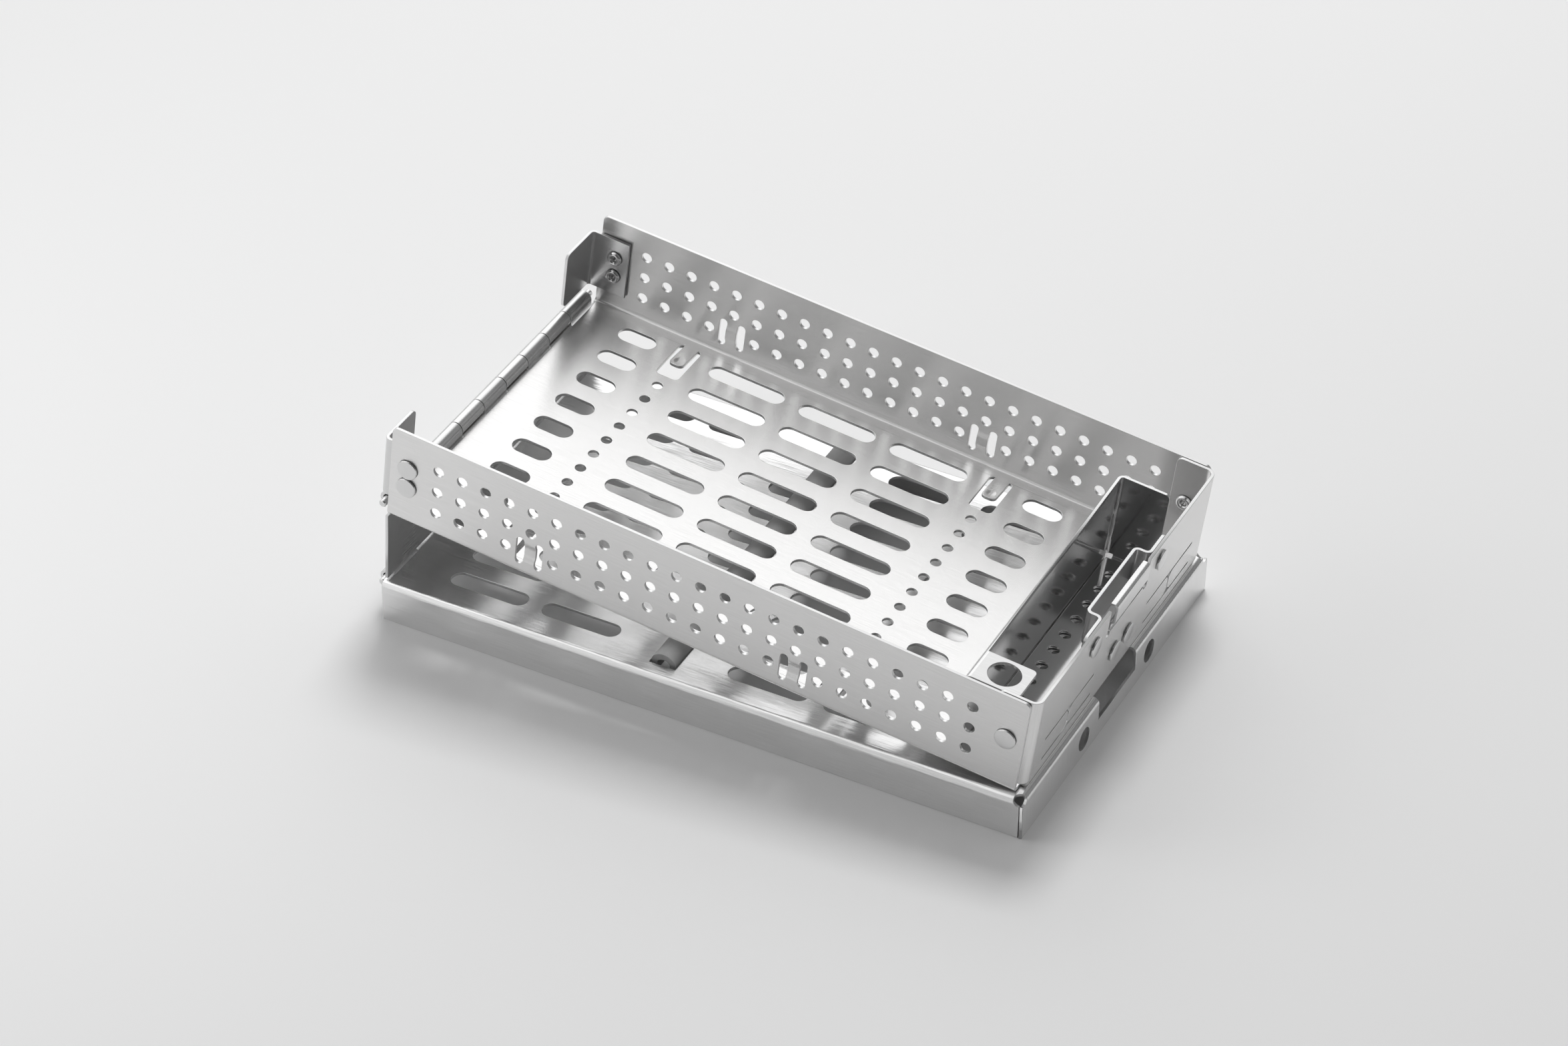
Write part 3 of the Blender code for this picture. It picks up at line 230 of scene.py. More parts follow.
# Divider
DIVIDER_FACE = 189.6
DIVIDER_TOP = 30.8
DIVIDER_NEAR = 60.8
DIVIDER_FAR = 44.8
DIVIDER_FLANGE = 16.8
DIVIDER_PLATE = 20.4
DIVIDER_PLATE_NEAR = 60.5
DIVIDER_CORNER = 1.4
RING_TAB_LENGTH = 12.6
RING_TAB_REACH = 17.2
RING_TAB_CORNER = 1.5
RING_HOLE = 10.0

HOLE_SIDES = 36
SMALL_HOLE_SIDES = 28
SLOT_END_STEPS = 14
CORNER_STEPS = 8
BEND_STEPS = 10
ROLL_STEPS = 30
PRESS_STEPS = 8
TURN_STEPS = 48
ARCH_STEPS = 28
EDGE_STEPS = 5
COLLAR_STEPS = 12
TONGUE_STEPS = 2


# Places of the bodies' own frames at rest, each a turn and a shift


def turned_about_y(angle):
    """The 3 by 3 turn about Y by an angle in radians."""
    c, s = math.cos(angle), math.sin(angle)
    return np.array([[c, 0, s], [0, 1, 0], [-s, 0, c]])


TILT = math.radians(6.820264)
HINGE = np.array([-106.3771, 0.0, 41.9488])
TRAY_PLACE = (turned_about_y(TILT), HINGE)
PANEL_TURN = turned_about_y(TILT + QUARTER - PANEL_LEAN)
PANEL_PLACE = (PANEL_TURN, HINGE)
LID_PLACE = (np.eye(3), HINGE + PANEL_TURN @ np.array([PANEL_LENGTH, 0, 0]))


def within(place, turn, shift):
    """A frame inside another frame."""
    return place[0] @ np.array(turn, float), place[0] @ np.array(shift, float) + place[1]


# Outlines on the flat blank, each an array of (x, y) rows


def rectangle(x0, x1, y0, y1):
    """The four corners of a plain rectangle."""
    return np.array([(x0, y0), (x1, y0), (x1, y1), (x0, y1)], float)


def arc(centre, radius, start, end, steps):
    """centre + radius (cos a, sin a), for a from start to end."""
    angles = np.linspace(start, end, steps + 1)[:, None]
    return np.array(centre) + radius * np.hstack([np.cos(angles), np.sin(angles)])


def disc(x, y, diameter, sides=HOLE_SIDES):
    """A round hole."""
    return arc((x, y), diameter / 2, 0, 2 * math.pi, sides)[:-1]


def slot(x0, x1, y, width):
    """A slot along X: two half circles, joined by straight sides."""
    radius = width / 2
    right = arc((x1 - radius, y), radius, -QUARTER, QUARTER, SLOT_END_STEPS)
    left = arc((x0 + radius, y), radius, QUARTER, 3 * QUARTER, SLOT_END_STEPS)
    return np.vstack([right, left])


def upright_slot(x, y0, y1, width):
    """The same slot along Y."""
    return slot(y0, y1, x, width)[:, ::-1]


def rounded(x0, x1, y0, y1, radius, corners="abcd"):
    """A rectangle with corners rounded: a low left, b low right, c high right, d high left."""
    ways = {"a": (x0, y0, 1, 1), "b": (x1, y0, -1, 1), "c": (x1, y1, -1, -1), "d": (x0, y1, 1, -1)}
    rows = []
    for turn, (key, (x, y, right, up)) in enumerate(ways.items(), 2):
        centre = (x + right * radius, y + up * radius)
        round_corner = arc(centre, radius, turn * QUARTER, (turn + 1) * QUARTER, CORNER_STEPS)
        rows.append(round_corner if key in corners else [(x, y)])
    return np.vstack(rows)


def both_sides(outlines):
    """Each outline and its mirror image over the centre line."""
    return list(outlines) + [outline * (1, -1) for outline in outlines]


# Folding


class Bend:
    """A bend of the blank: it starts on a line, rolls towards one face, and turns by an angle.

    Past the line, a point at the distance s along the blank goes to
    start + toward n + (n - h)(sin t across - cos t toward), with t = s / n and h its height
    over the middle layer; beyond the bend it goes straight on along the last tangent.
    """

    def __init__(
        self, start, across, toward, chosen, neutral=NEUTRAL, angle=QUARTER, steps=BEND_STEPS,
    ):
        self.start = np.array(start, float)
        self.across = np.array(across, float)
        self.toward = np.array(toward, float)
        self.chosen = chosen
        self.neutral = neutral
        self.angle = angle
        self.length = neutral * angle
        self.steps = steps

    def crease_places(self):
        """Where the blank is divided, measured along the way across."""
        shares = np.linspace(0, 1, self.steps + 1)
        return (self.start + self.across * self.length * shares[:, None])[:, :2]

    def apply(self, points, directions, flat):
        """Fold the points and turn the directions that they carry."""
        along = (flat - self.start) @ self.across
        moved = self.chosen(flat) & (along > 0)
        turn = np.clip(along / self.neutral, 0, self.angle)[:, None]
        relative = points - self.start
        reach = (relative @ self.across)[:, None]
        height = (relative @ self.toward)[:, None]
        rest = relative - reach * self.across - height * self.toward
        spoke = np.sin(turn) * self.across - np.cos(turn) * self.toward
        path = np.cos(turn) * self.across + np.sin(turn) * self.toward
        past = np.maximum(along - self.length, 0)[:, None]
        shift = reach - along[:, None] + past
        folded = self.start + rest + self.toward * self.neutral + spoke * (self.neutral - height)
        folded = folded + path * shift
        ahead = (directions @ self.across)[..., None]
        over = (directions @ self.toward)[..., None]
        beside = directions - ahead * self.across - over * self.toward
        turned = beside + ahead * path - over * spoke
        keep = ~moved[:, None]
        return np.where(keep, points, folded), np.where(keep, directions, turned)


def side_bends(y, way, level, toward, chosen, *more):
    """The same bend on both sides; chosen is asked about the blank as mirrored to the far side."""
    return [
        Bend(
            (0, side * y, level), (0, side * way, 0), toward,
            lambda flat, side=side: chosen(flat * (1, side, 1)), *more,
        )
        for side in (1, -1)
    ]


def knuckle_roll(x, way, up, chosen):
    """The bend that rolls the sheet's edge round a hinge pin."""
    start = (x, 0, -up * BARREL_NEUTRAL)
    return Bend(start, (way, 0, 0), (0, 0, up), chosen, BARREL_NEUTRAL, ROLL_ANGLE, ROLL_STEPS)


def covered(points, outline):
    """Whether each point lies inside the outline, by the even-odd rule over its edges."""
    inside = np.zeros(len(points), bool)
    low, high = outline.min(axis=0), outline.max(axis=0)
    near = np.flatnonzero(((points >= low) & (points <= high)).all(axis=1))
    x, y = points[near, 0][:, None], points[near, 1][:, None]
    x0, y0 = outline.T
    x1, y1 = np.roll(outline, -1, axis=0).T
    spans = (y < y0) != (y < y1)
    rise = np.where(y1 == y0, 1, y1 - y0)
    crossed = spans & (x < x0 + (y - y0) * (x1 - x0) / rise)
    inside[near] = crossed.sum(axis=1) % 2 == 1
    return inside


def divided_blank(plates, cuts, patches, lines):
    """Points and triangles of the plates less the cuts plus the patches, divided along lines."""
    corners = [np.array(outline, float) for outline in plates + cuts + patches + lines]
    edges = []
    first = 0
    for outline in corners:
        index = first + np.arange(len(outline))
        around = np.stack([index, np.roll(index, -1)], axis=1)
        edges.append(around if len(outline) > 2 else around[:1])
        first += len(outline)
    points = [Vector(p) for p in np.vstack(corners).tolist()]
    pairs = [tuple(e) for e in np.vstack(edges).tolist()]
    flat, _, faces = delaunay_2d_cdt(points, pairs, [], 0, WELD)[:3]
    flat = np.array([tuple(v) for v in flat])
    faces = np.array([tuple(f) for f in faces])
    centres = flat[faces].mean(axis=1)
    kept = np.zeros(len(faces), bool)
    for outline in plates:
        kept |= covered(centres, outline)
    for outline in cuts:
        kept &= ~covered(centres, outline)
    for outline in patches:
        kept |= covered(centres, outline)
    faces = faces[kept]
    used, renumbered = np.unique(faces, return_inverse=True)
    faces = renumbered.reshape(-1, 3)
    flat = flat[used]
    a, b, c = flat[faces[:, 0]], flat[faces[:, 1]], flat[faces[:, 2]]
    area = (b[:, 0] - a[:, 0]) * (c[:, 1] - a[:, 1]) - (b[:, 1] - a[:, 1]) * (c[:, 0] - a[:, 0])
    faces[area < 0] = faces[area < 0][:, ::-1]
    return flat, faces


def boundary_of(faces, count):
    """The directed edges that only one triangle has, as the points before and after each point."""
    pairs = np.vstack([faces[:, [0, 1]], faces[:, [1, 2]], faces[:, [2, 0]]])
    keys = pairs[:, 0] * count + pairs[:, 1]
    back = pairs[:, 1] * count + pairs[:, 0]
    open_pairs = pairs[~np.isin(keys, back)]
    after = np.full(count, -1)
    before = np.full(count, -1)
    after[open_pairs[:, 0]] = open_pairs[:, 1]
    before[open_pairs[:, 1]] = open_pairs[:, 0]
    return open_pairs, before, after


def unit(vectors):
    """The vectors at length 1."""
    return vectors / np.maximum(np.linalg.norm(vectors, axis=1, keepdims=True), 1e-12)


def sheet_surface(
    plates, cuts, bends, thickness=SHEET, level=0.0, patches=(), lines=(), press=None,
    across=(0, 1, 0),
):
    """A folded sheet as points, faces and what its mesh carries; across is the way over the grain.

    The blank's faces lie at level +- thickness / 2. Round each outline the cut edge is a profile
    carried along it: offset r (sin t - 1) outwards and height +- (thickness / 2 - r + r cos t),
    with r the rim's radius and t from 0 to a quarter turn for each of the two corners.
    """
    outlines = np.vstack(plates)
    low = outlines.min(axis=0) - OVERRUN
    high = outlines.max(axis=0) + OVERRUN
    crease_lines = list(lines)
    for bend in bends:
        for x, y in bend.crease_places():
            if bend.across[0]:
                crease_lines.append([(x, low[1]), (x, high[1])])
            else:
                crease_lines.append([(low[0], y), (high[0], y)])
    flat, faces = divided_blank(list(plates), list(cuts), list(patches), crease_lines)
    count = len(flat)
    pairs, before, after = boundary_of(faces, count)
    rim = np.flatnonzero(after >= 0)
    out_next = unit(flat[after[rim]] - flat[rim])[:, ::-1] * (1, -1)
    out_last = unit(flat[rim] - flat[before[rim]])[:, ::-1] * (1, -1)
    reach = np.maximum(1 + (out_next * out_last).sum(axis=1, keepdims=True), LEAST_CORNER)
    outward = (out_next + out_last) / reach
    inner = flat.copy()
    inner[rim] -= outward * RIM
    half = thickness / 2
    quarter = np.linspace(0, QUARTER, RIM_STEPS + 1)
    angles = np.concatenate([quarter, math.pi - quarter[::-1]])[1:-1]
    straight = unit(outward)
    ones = np.ones(len(rim))
    rows = []
    row_normals = []
    for angle, side in zip(angles, np.repeat([1, -1], RIM_STEPS)):
        place = flat[rim] + outward * RIM * (math.sin(angle) - 1)
        lift = side * (half - RIM) + RIM * math.cos(angle)
        rows.append(np.column_stack([place, ones * (level + lift)]))
        row_normals.append(np.column_stack([straight * math.sin(angle), ones * math.cos(angle)]))
    top = np.column_stack([inner, np.full(count, level + half)])
    bottom = np.column_stack([inner, np.full(count, level - half)])
    points = np.vstack([top] + rows + [bottom])
    up = np.tile(UP, (count, 1))
    normals = np.vstack([up] + row_normals + [-up])
    marks = np.concatenate([np.zeros(count), np.ones(len(rim) * len(rows)), np.zeros(count)])
    flat_points = points.copy()
    ring = np.searchsorted(rim, pairs.T) + count
    last = count + len(rim) * len(rows)
    index_rows = [pairs.T] + [ring + len(rim) * k for k in range(len(rows))] + [pairs.T + last]
    quads = [
        np.stack([upper[0], lower[0], lower[1], upper[1]], axis=1)
        for upper, lower in zip(index_rows, index_rows[1:])
    ]
    if press is not None:
        rise, slope = press(flat_points)
        points[:, 2] += rise
        normals[:, :2] -= slope * normals[:, 2:]
        normals = unit(normals)
    directions = np.stack([normals, np.tile(across, (len(points), 1))])
    for bend in bends:
        points, directions = bend.apply(points, directions, flat_points)
    triangles = np.vstack([faces, faces[:, ::-1] + last])
    normals, across = directions
    carried = {"normals": normals, "across": across, "blank": flat_points, "rim": marks}
    return points, [triangles, np.vstack(quads)], carried


# Meshes


def turned_over(surface):
    """The surface with its faces turned, for a frame that mirrors it."""
    points, face_sets, carried = surface
    return points, [faces[:, ::-1] for faces in face_sets], carried


def carry(mesh, name, kind, values):
    """Keep a vector or a number at each point of the mesh."""
    field = "value" if kind == "FLOAT" else "vector"
    data = mesh.attributes.new(name, kind, "POINT").data
    data.foreach_set(field, values.astype(np.float32).ravel())


def solid(name, surface, place, slot_name, body, *nodes):
    """Make the mesh in world metres, give it its finish, and say what it rides on and replaces."""
    points, face_sets, carried = surface
    turn, shift = place
    world = (points @ turn.T + shift) * METRES
    mesh = bpy.data.meshes.new(name)
    faces = [face for face_set in face_sets for face in face_set.tolist()]
    mesh.from_pydata(world.tolist(), [], faces)
    mesh.validate()
    mesh.shade_smooth()
    carry(mesh, "blank", "FLOAT_VECTOR", carried.get("blank", points))
    if "normals" in carried:
        carry(mesh, "rim", "FLOAT", carried["rim"])
        carry(mesh, "across", "FLOAT_VECTOR", carried["across"] @ turn.T)
        mesh.normals_split_custom_set_from_vertices(unit(carried["normals"] @ turn.T).tolist())
    else:
        mesh.set_sharp_from_angle(angle=SHARP_ANGLE)
    mesh.materials.append(FINISHES[slot_name])
    piece = bpy.data.objects.new(name, mesh)
    bpy.context.scene.collection.objects.link(piece)
    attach(piece, body)
    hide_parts(*nodes)


def grid_faces(rows, columns, closed):
    """Quads between the rows of a grid; closed joins the last column to the first."""
    i = np.arange(rows - 1)[:, None] * columns
    j = np.arange(columns if closed else columns - 1)[None, :]
    k = (j + 1) % columns
    return np.stack([i + j, i + k, i + columns + k, i + columns + j], axis=-1).reshape(-1, 4)


def lathe(profile):
    """The surface (r(u) cos v, r(u) sin v, z(u)) of a profile that starts and ends on the axis."""
    radius, height = np.array(profile, float).T
    v = np.linspace(0, 2 * math.pi, TURN_STEPS, endpoint=False)
    inner = slice(1, -1)
    rings = np.stack([
        radius[inner, None] * np.cos(v),
        radius[inner, None] * np.sin(v),
        np.repeat(height[inner, None], TURN_STEPS, axis=1),
    ], axis=-1).reshape(-1, 3)
    points = np.vstack([rings, [(0, 0, height[0]), (0, 0, height[-1])]])
    rows = len(radius) - 2
    quads = grid_faces(rows, TURN_STEPS, True)
    j = np.arange(TURN_STEPS)
    k = (j + 1) % TURN_STEPS
    first, last = len(rings), len(rings) + 1
    end = (rows - 1) * TURN_STEPS
    caps = np.vstack([
        np.stack([np.full(TURN_STEPS, first), k, j], axis=1),
        np.stack([np.full(TURN_STEPS, last), end + j, end + k], axis=1),
    ])
    return points, [quads, caps], {}


# Shader maths


class Number:
    """A shader number. Python's operators on it add Math nodes to its tree."""

    def __init__(self, nodes, socket):
        self.nodes = nodes
        self.socket = socket

    def maths(self, operation, *values):
        """A Math node on the given numbers."""
        node = self.nodes.node("Math", {"operation": operation}, dict(enumerate(values)))
        return Number(self.nodes, node.outputs[0])

    def __add__(self, other):
        return self.maths("ADD", self, other)

    def __radd__(self, other):
        return self.maths("ADD", other, self)

    def __sub__(self, other):
        return self.maths("SUBTRACT", self, other)

    def __rsub__(self, other):
        return self.maths("SUBTRACT", other, self)

    def __mul__(self, other):
        return self.maths("MULTIPLY", self, other)

    def __rmul__(self, other):
        return self.maths("MULTIPLY", other, self)


class Nodes:
    """The nodes of one material or of the world."""

    def __init__(self, tree):
        self.tree = tree

    def node(self, kind, settings=None, inputs=None):
        """A node of a type, with its settings first and then its sockets' values or links."""
        made = self.tree.nodes.new("ShaderNode" + kind)
        for key, value in (settings or {}).items():
            setattr(made, key, value)
        for key, value in (inputs or {}).items():
            self.feed(made.inputs[key], value)
        return made

    def feed(self, socket, value):
        """Set a socket, or link it to a number or to another socket."""
        source = value.socket if isinstance(value, Number) else value
        if isinstance(source, bpy.types.NodeSocket):
            self.tree.links.new(source, socket)
        else:
            socket.default_value = source

    def number(self, node, output=0):
        """A node's output as a number."""
        return Number(self, node.outputs[output])

    def attribute(self, name):
        """The node that reads what the mesh carries."""
        return self.node("Attribute", {"attribute_name": name})

    def blank_place(self, scale):
        """The place on the flat blank in millimetres, stretched for a grain."""
        place = self.attribute("blank").outputs["Vector"]
        return self.node("Mapping", None, {"Vector": place, "Scale": scale}).outputs["Vector"]

    def noise(self, vector, scale, detail, roughness):
        """A noise of about 0 to 1."""
        return self.number(self.node("TexNoise", None, {
            "Vector": vector, "Scale": scale, "Detail": detail, "Roughness": roughness,
        }))

    def range(self, value, low, high, to_low=0.0, to_high=1.0):
        """The value carried from one range to another, and kept inside it."""
        inputs = {0: value, 1: low, 2: high, 3: to_low, 4: to_high}
        return self.number(self.node("MapRange", None, inputs))

    def profile(self, value, stops):
        """The curve of straight pieces through the stops (value, level), constant beyond them."""
        level = stops[0][1]
        for (start, before), (end, after) in zip(stops, stops[1:]):
            level = level + self.range(value, start, end, 0.0, after - before)
        return level

    def mix(self, factor, first, second):
        """A colour between two colours."""
        colours = {"Factor": factor, 6: first, 7: second}
        return self.node("Mix", {"data_type": "RGBA"}, colours).outputs[2]

    def vector_maths(self, operation, inputs):
        """The vector that a Vector Math node gives."""
        return self.node("VectorMath", {"operation": operation}, inputs).outputs["Vector"]


class Finish(Nodes):
    """A procedural material round one Principled shader."""

    def __init__(self, name, **values):
        self.material = bpy.data.materials.new(name)
        self.material.use_nodes = True
        super().__init__(self.material.node_tree)
        self.shade(**values)

    def shade(self, **values):
        """Set or link the shader's sockets, each named with _ for a space."""
        inputs = self.tree.nodes["Principled BSDF"].inputs
        for name, value in values.items():
            self.feed(inputs[name.replace("_", " ")], value)


def grey(level, warm=0.0):
    """A neutral colour, a little warm or cool."""
    return (level * (1 + warm), level, level * (1 - warm), 1)


# Noises of the finishes, each with its scale, detail and roughness
STREAKS = (4.0, 4.0, 0.6)
MICROGRAIN = (30.0, 1.0, 0.5)
SMUDGES = (1.0, 3.0, 0.5)
DUST = (1.0, 4.0, 0.6)
SKIN = (1.0, 2.0, 0.5)

# How the finishes take them up, and the share of bare metal under the haze of use
NOISE_MEAN = 0.5
LEAST_STRETCH = 0.25
SMUDGE_STRETCH = (0.035, 0.05, 0.05)
DUST_STRETCH = (0.25, 0.12, 0.25)
SKIN_STRETCH = (6.0, 6.0, 6.0)
STREAK_SHARE = 0.6
GRAIN_LOW, GRAIN_HIGH = 0.36, 0.64
SMUDGE_LOW, SMUDGE_HIGH = 0.3, 0.7
METAL_SHARE = 0.85
CUT_EDGE = grey(0.78)
CUT_EDGE_ROUGHER = 0.10


def brushed(
    name, dark, light, rough, grain=(0.02, 1.0, 1.0), tilt=0.8, spread=0.06, lines=0.1, warm=0.0,
):
    """Brushed stainless: long streaks, soft smudges and clean cut edges.

    The normal is N + (g - 1/2) tilt across, with across the direction over the grain and g the
    noise of the fine grain with a share of the lines in it, so that reflections spread over the
    grain, as they do on brushed sheet.
    """
    steel = Finish(name, Metallic=METAL_SHARE)
    streaks = steel.noise(steel.blank_place(grain), *STREAKS)
    fine_stretch = tuple(max(step, LEAST_STRETCH) for step in grain)
    fine = steel.noise(steel.blank_place(fine_stretch), *MICROGRAIN)
    smudges = steel.noise(steel.blank_place(SMUDGE_STRETCH), *SMUDGES)
    rim = steel.number(steel.attribute("rim"), "Fac")
    grains = steel.range(streaks * STREAK_SHARE + fine * (1 - STREAK_SHARE), GRAIN_LOW, GRAIN_HIGH)
    haze = steel.range(smudges, SMUDGE_LOW, SMUDGE_HIGH)
    gloss = rough - spread / 2 + (grains * 0.5 + haze) * spread
    turned = steel.node(
        "VectorTransform",
        {"vector_type": "VECTOR", "convert_from": "OBJECT", "convert_to": "WORLD"},
        {"Vector": steel.attribute("across").outputs["Vector"]},
    )
    slope = (fine * (1 - lines) + streaks * lines - NOISE_MEAN) * tilt
    lean = steel.vector_maths("SCALE", {0: turned.outputs["Vector"], "Scale": slope})
    straight = steel.node("NewGeometry").outputs["Normal"]
    leaning = steel.vector_maths("ADD", {0: straight, 1: lean})
    steel.shade(
        Base_Color=steel.mix(rim, steel.mix(grains, grey(dark, warm), grey(light, warm)), CUT_EDGE),
        Roughness=gloss + rim * CUT_EDGE_ROUGHER,
        Normal=steel.vector_maths("NORMALIZE", {0: leaning}),
    )
    return steel.material


def soft_rail_finish():
    """Matte grey silicone: a fine moulded skin with faint dusty patches."""
    rubber = Finish("rail_silicone_matte", Metallic=0.0, IOR=1.41)
    dust = rubber.noise(rubber.blank_place(DUST_STRETCH), *DUST)
    skin = rubber.noise(rubber.blank_place(SKIN_STRETCH), *SKIN)
    relief = rubber.node("Bump", None, {"Strength": 0.15, "Distance": 0.0001, "Height": skin})
    patches = rubber.range(dust, SMUDGE_LOW, SMUDGE_HIGH)
    rubber.shade(
        Base_Color=rubber.mix(patches, grey(0.37), grey(0.45)),
        Roughness=0.46 + dust * 0.16,
        Normal=relief.outputs["Normal"],
    )
    return rubber.material


FINISHES = {
    "tray_steel": brushed("tray_steel_brushed", 0.75, 0.87, 0.20, tilt=1.3, warm=0.004),
    "lid_steel": brushed("lid_steel_brushed", 0.76, 0.90, 0.20, tilt=1.2, lines=0.55),
    "panel_steel": brushed("panel_steel_brushed", 0.70, 0.82, 0.24, (1.0, 0.02, 1.0)),
    "bracket_steel": brushed("bracket_steel_brushed", 0.66, 0.78, 0.20, tilt=0.5),
    "divider_steel": brushed("divider_steel_brushed", 0.63, 0.71, 0.06, tilt=0.12, spread=0.03),
    "leaf_steel": brushed("leaf_steel_brushed", 0.76, 0.88, 0.22, tilt=0.6),
    "rivet_steel": brushed("rivet_steel_pressed", 0.66, 0.80, 0.12, (1.0, 1.0, 1.0), 0.0, 0.04),
    "pin_steel": brushed("pin_steel_drawn", 0.70, 0.82, 0.22, (1.0, 1.0, 0.02), 0.0),
    "rail_silicone": soft_rail_finish(),
}


# Shared patterns


# The rows' places across the tray and the lid
SLOT_ROWS = SLOT_ROW_PITCH * np.arange(-SIDE_SLOT_ROWS, SIDE_SLOT_ROWS + 1)
# The places of a row of rail holes across the tray
RAIL_HOLE_PLACES = PITCH * (np.arange(RAIL_HOLES) - (RAIL_HOLES - 1) / 2)
ODD_KNUCKLES = range(1, KNUCKLES + 1, 2)
EVEN_KNUCKLES = range(2, KNUCKLES, 2)


def hole_row(x):
    """A row of rail holes across the tray."""
    return [disc(x, y, RAIL_HOLE, SMALL_HOLE_SIDES) for y in RAIL_HOLE_PLACES]


def knuckle_tabs(numbers, edge, end):
    """The strips that roll into knuckles."""
    half = (KNUCKLE_PITCH - KNUCKLE_GAP) / 2
    centres = [(number - (KNUCKLES + 1) / 2) * KNUCKLE_PITCH for number in numbers]
    return [rectangle(min(edge, end), max(edge, end), c - half, c + half) for c in centres]


# Tray


def wall_y(height):
    """Place on the blank of a height on a long wall."""
    return WALL_BEND + QUARTER_LENGTH + height - BEND_TOP


def end_x(height):
    """Place on the blank of a height on the end wall."""
    return END_BEND + QUARTER_LENGTH + height - BEND_TOP


def wall_column(index):
    """Place along the tray of a column of wall holes."""
    return WALL_FIRST_COLUMN + index * PITCH


def wall_cuts():
    """Holes of one long wall: three rows, with two pairs of slots in the lowest."""
    cuts = []
    for column in range(WALL_COLUMNS):
        lowest = 1 if column in PAIR_COLUMNS else 0
        for row in range(lowest, WALL_ROWS):
            cuts.append(disc(wall_column(column), wall_y(WALL_LOW_ROW + row * PITCH), WALL_HOLE))
    for column in PAIR_COLUMNS:
        for x in wall_column(column) + PAIR_HALF_SPACING * np.array([-1, 1]):
            cuts.append(upright_slot(x, wall_y(PAIR_LOW), wall_y(PAIR_HIGH), PAIR_WIDTH))
    rivets = [(BRACKET_RIVET_AHEAD, height) for height in BRACKET_RIVET_HEIGHTS]
    rivets.append((TRAY_REACH - CORNER_RIVET_INSET, CORNER_RIVET_HEIGHT))
    return cuts + [disc(x, wall_y(height), RIVET_HOLE) for x, height in rivets]


def bridge_ends():
    """Where the strips between paired slots begin and end on the blank."""
    return wall_y(PAIR_LOW + PAIR_WIDTH / 2), wall_y(PAIR_HIGH - PAIR_WIDTH / 2)


def press_lines():
    """Divisions across the pressed strips and dimples, so that they can curve."""
    steps = 2 * PRESS_STEPS + 1
    lines = []
    for column in PAIR_COLUMNS:
        x = wall_column(column)
        left, right = x - PAIR_HALF_SPACING, x + PAIR_HALF_SPACING
        lines += [[(left, y), (right, y)] for y in np.linspace(*bridge_ends(), steps)]
    a, b, middle = DIMPLE_ACROSS / 2, DIMPLE_ALONG / 2, TONGUE_TIP + DIMPLE_INSET
    for x in RAIL_HOLE_COLUMNS:
        lines += [[(x - a, y), (x + a, y)] for y in np.linspace(middle - b, middle + b, steps)]
        lines += [[(x + s, middle - b), (x + s, middle + b)] for s in np.linspace(-a, a, steps)]
    return both_sides([np.array(line) for line in lines])


def press_bridges(x, y):
    """Rise and slope of the strips between paired slots: 3 t^2 - 2 t^3 over each end's ramp."""
    low, high = bridge_ends()
    near = np.clip((y - low) / PAIR_PRESS_INSET, 0, 1)
    far = np.clip((high - y) / PAIR_PRESS_INSET, 0, 1)
    step_near, step_far = near**2 * (3 - 2 * near), far**2 * (3 - 2 * far)
    slope_near, slope_far = 6 * near * (1 - near), 6 * far * (1 - far)
    inside = np.zeros(len(x), bool)
    for column in PAIR_COLUMNS:
        inside |= np.abs(x - wall_column(column)) < PAIR_HALF_SPACING - PAIR_WIDTH / 4
    rise = PAIR_PRESS * step_near * step_far
    along = PAIR_PRESS / PAIR_PRESS_INSET * (slope_near * step_far - step_near * slope_far)
    return rise * inside, np.column_stack([np.zeros(len(x)), along * inside])


def press_dimples(x, y):
    """Rise and slope of the oval dimples: -d (1 - (x / a)^2 - (y / b)^2)^2 within the oval."""
    a, b = DIMPLE_ACROSS / 2, DIMPLE_ALONG / 2
    y = y - TONGUE_TIP - DIMPLE_INSET
    rise, slope = 0, 0
    for column in RAIL_HOLE_COLUMNS:
        left = np.clip(1 - ((x - column) / a) ** 2 - (y / b) ** 2, 0, 1)
        rise = rise - DIMPLE_DEPTH * left**2
        steepness = np.column_stack([(x - column) / a**2, y / b**2])
        slope = slope + (4 * DIMPLE_DEPTH * left)[:, None] * steepness
    return rise, slope


def press_tray(points):
    """The bridges between the paired slots and the tongues' dimples together, on both sides."""
    x, y = points[:, 0], np.abs(points[:, 1])
    bridge_rise, bridge_slope = press_bridges(x, y)
    dimple_rise, dimple_slope = press_dimples(x, y)
    slope = bridge_slope + dimple_slope
    slope[:, 1] *= np.sign(points[:, 1])
    return bridge_rise + dimple_rise, slope


def lance_pair():
    """Two long slits, joined between the rounded tips of the tongues that they free."""
    low, high = end_x(LANCE_LOW), end_x(LANCE_HIGH)
    tip, centre = LANCE_TIP, (LANCE_INNER + LANCE_OUTER) / 2
    near, far = centre - LANCE_SLIT / 2 - tip, centre + LANCE_SLIT / 2 + tip
    corners = ((low + tip, near), (high - tip, near), (high - tip, far), (low + tip, far))
    between = np.vstack([
        arc(corner, tip, turn * QUARTER, (turn - 1) * QUARTER, CORNER_STEPS)
        for turn, corner in zip((2, 1, 0, -1), corners)
    ])
    return [
        rectangle(low - LANCE_SLIT, low, LANCE_INNER, LANCE_OUTER),
        rectangle(high, high + LANCE_SLIT, LANCE_INNER, LANCE_OUTER),
        between,
    ]


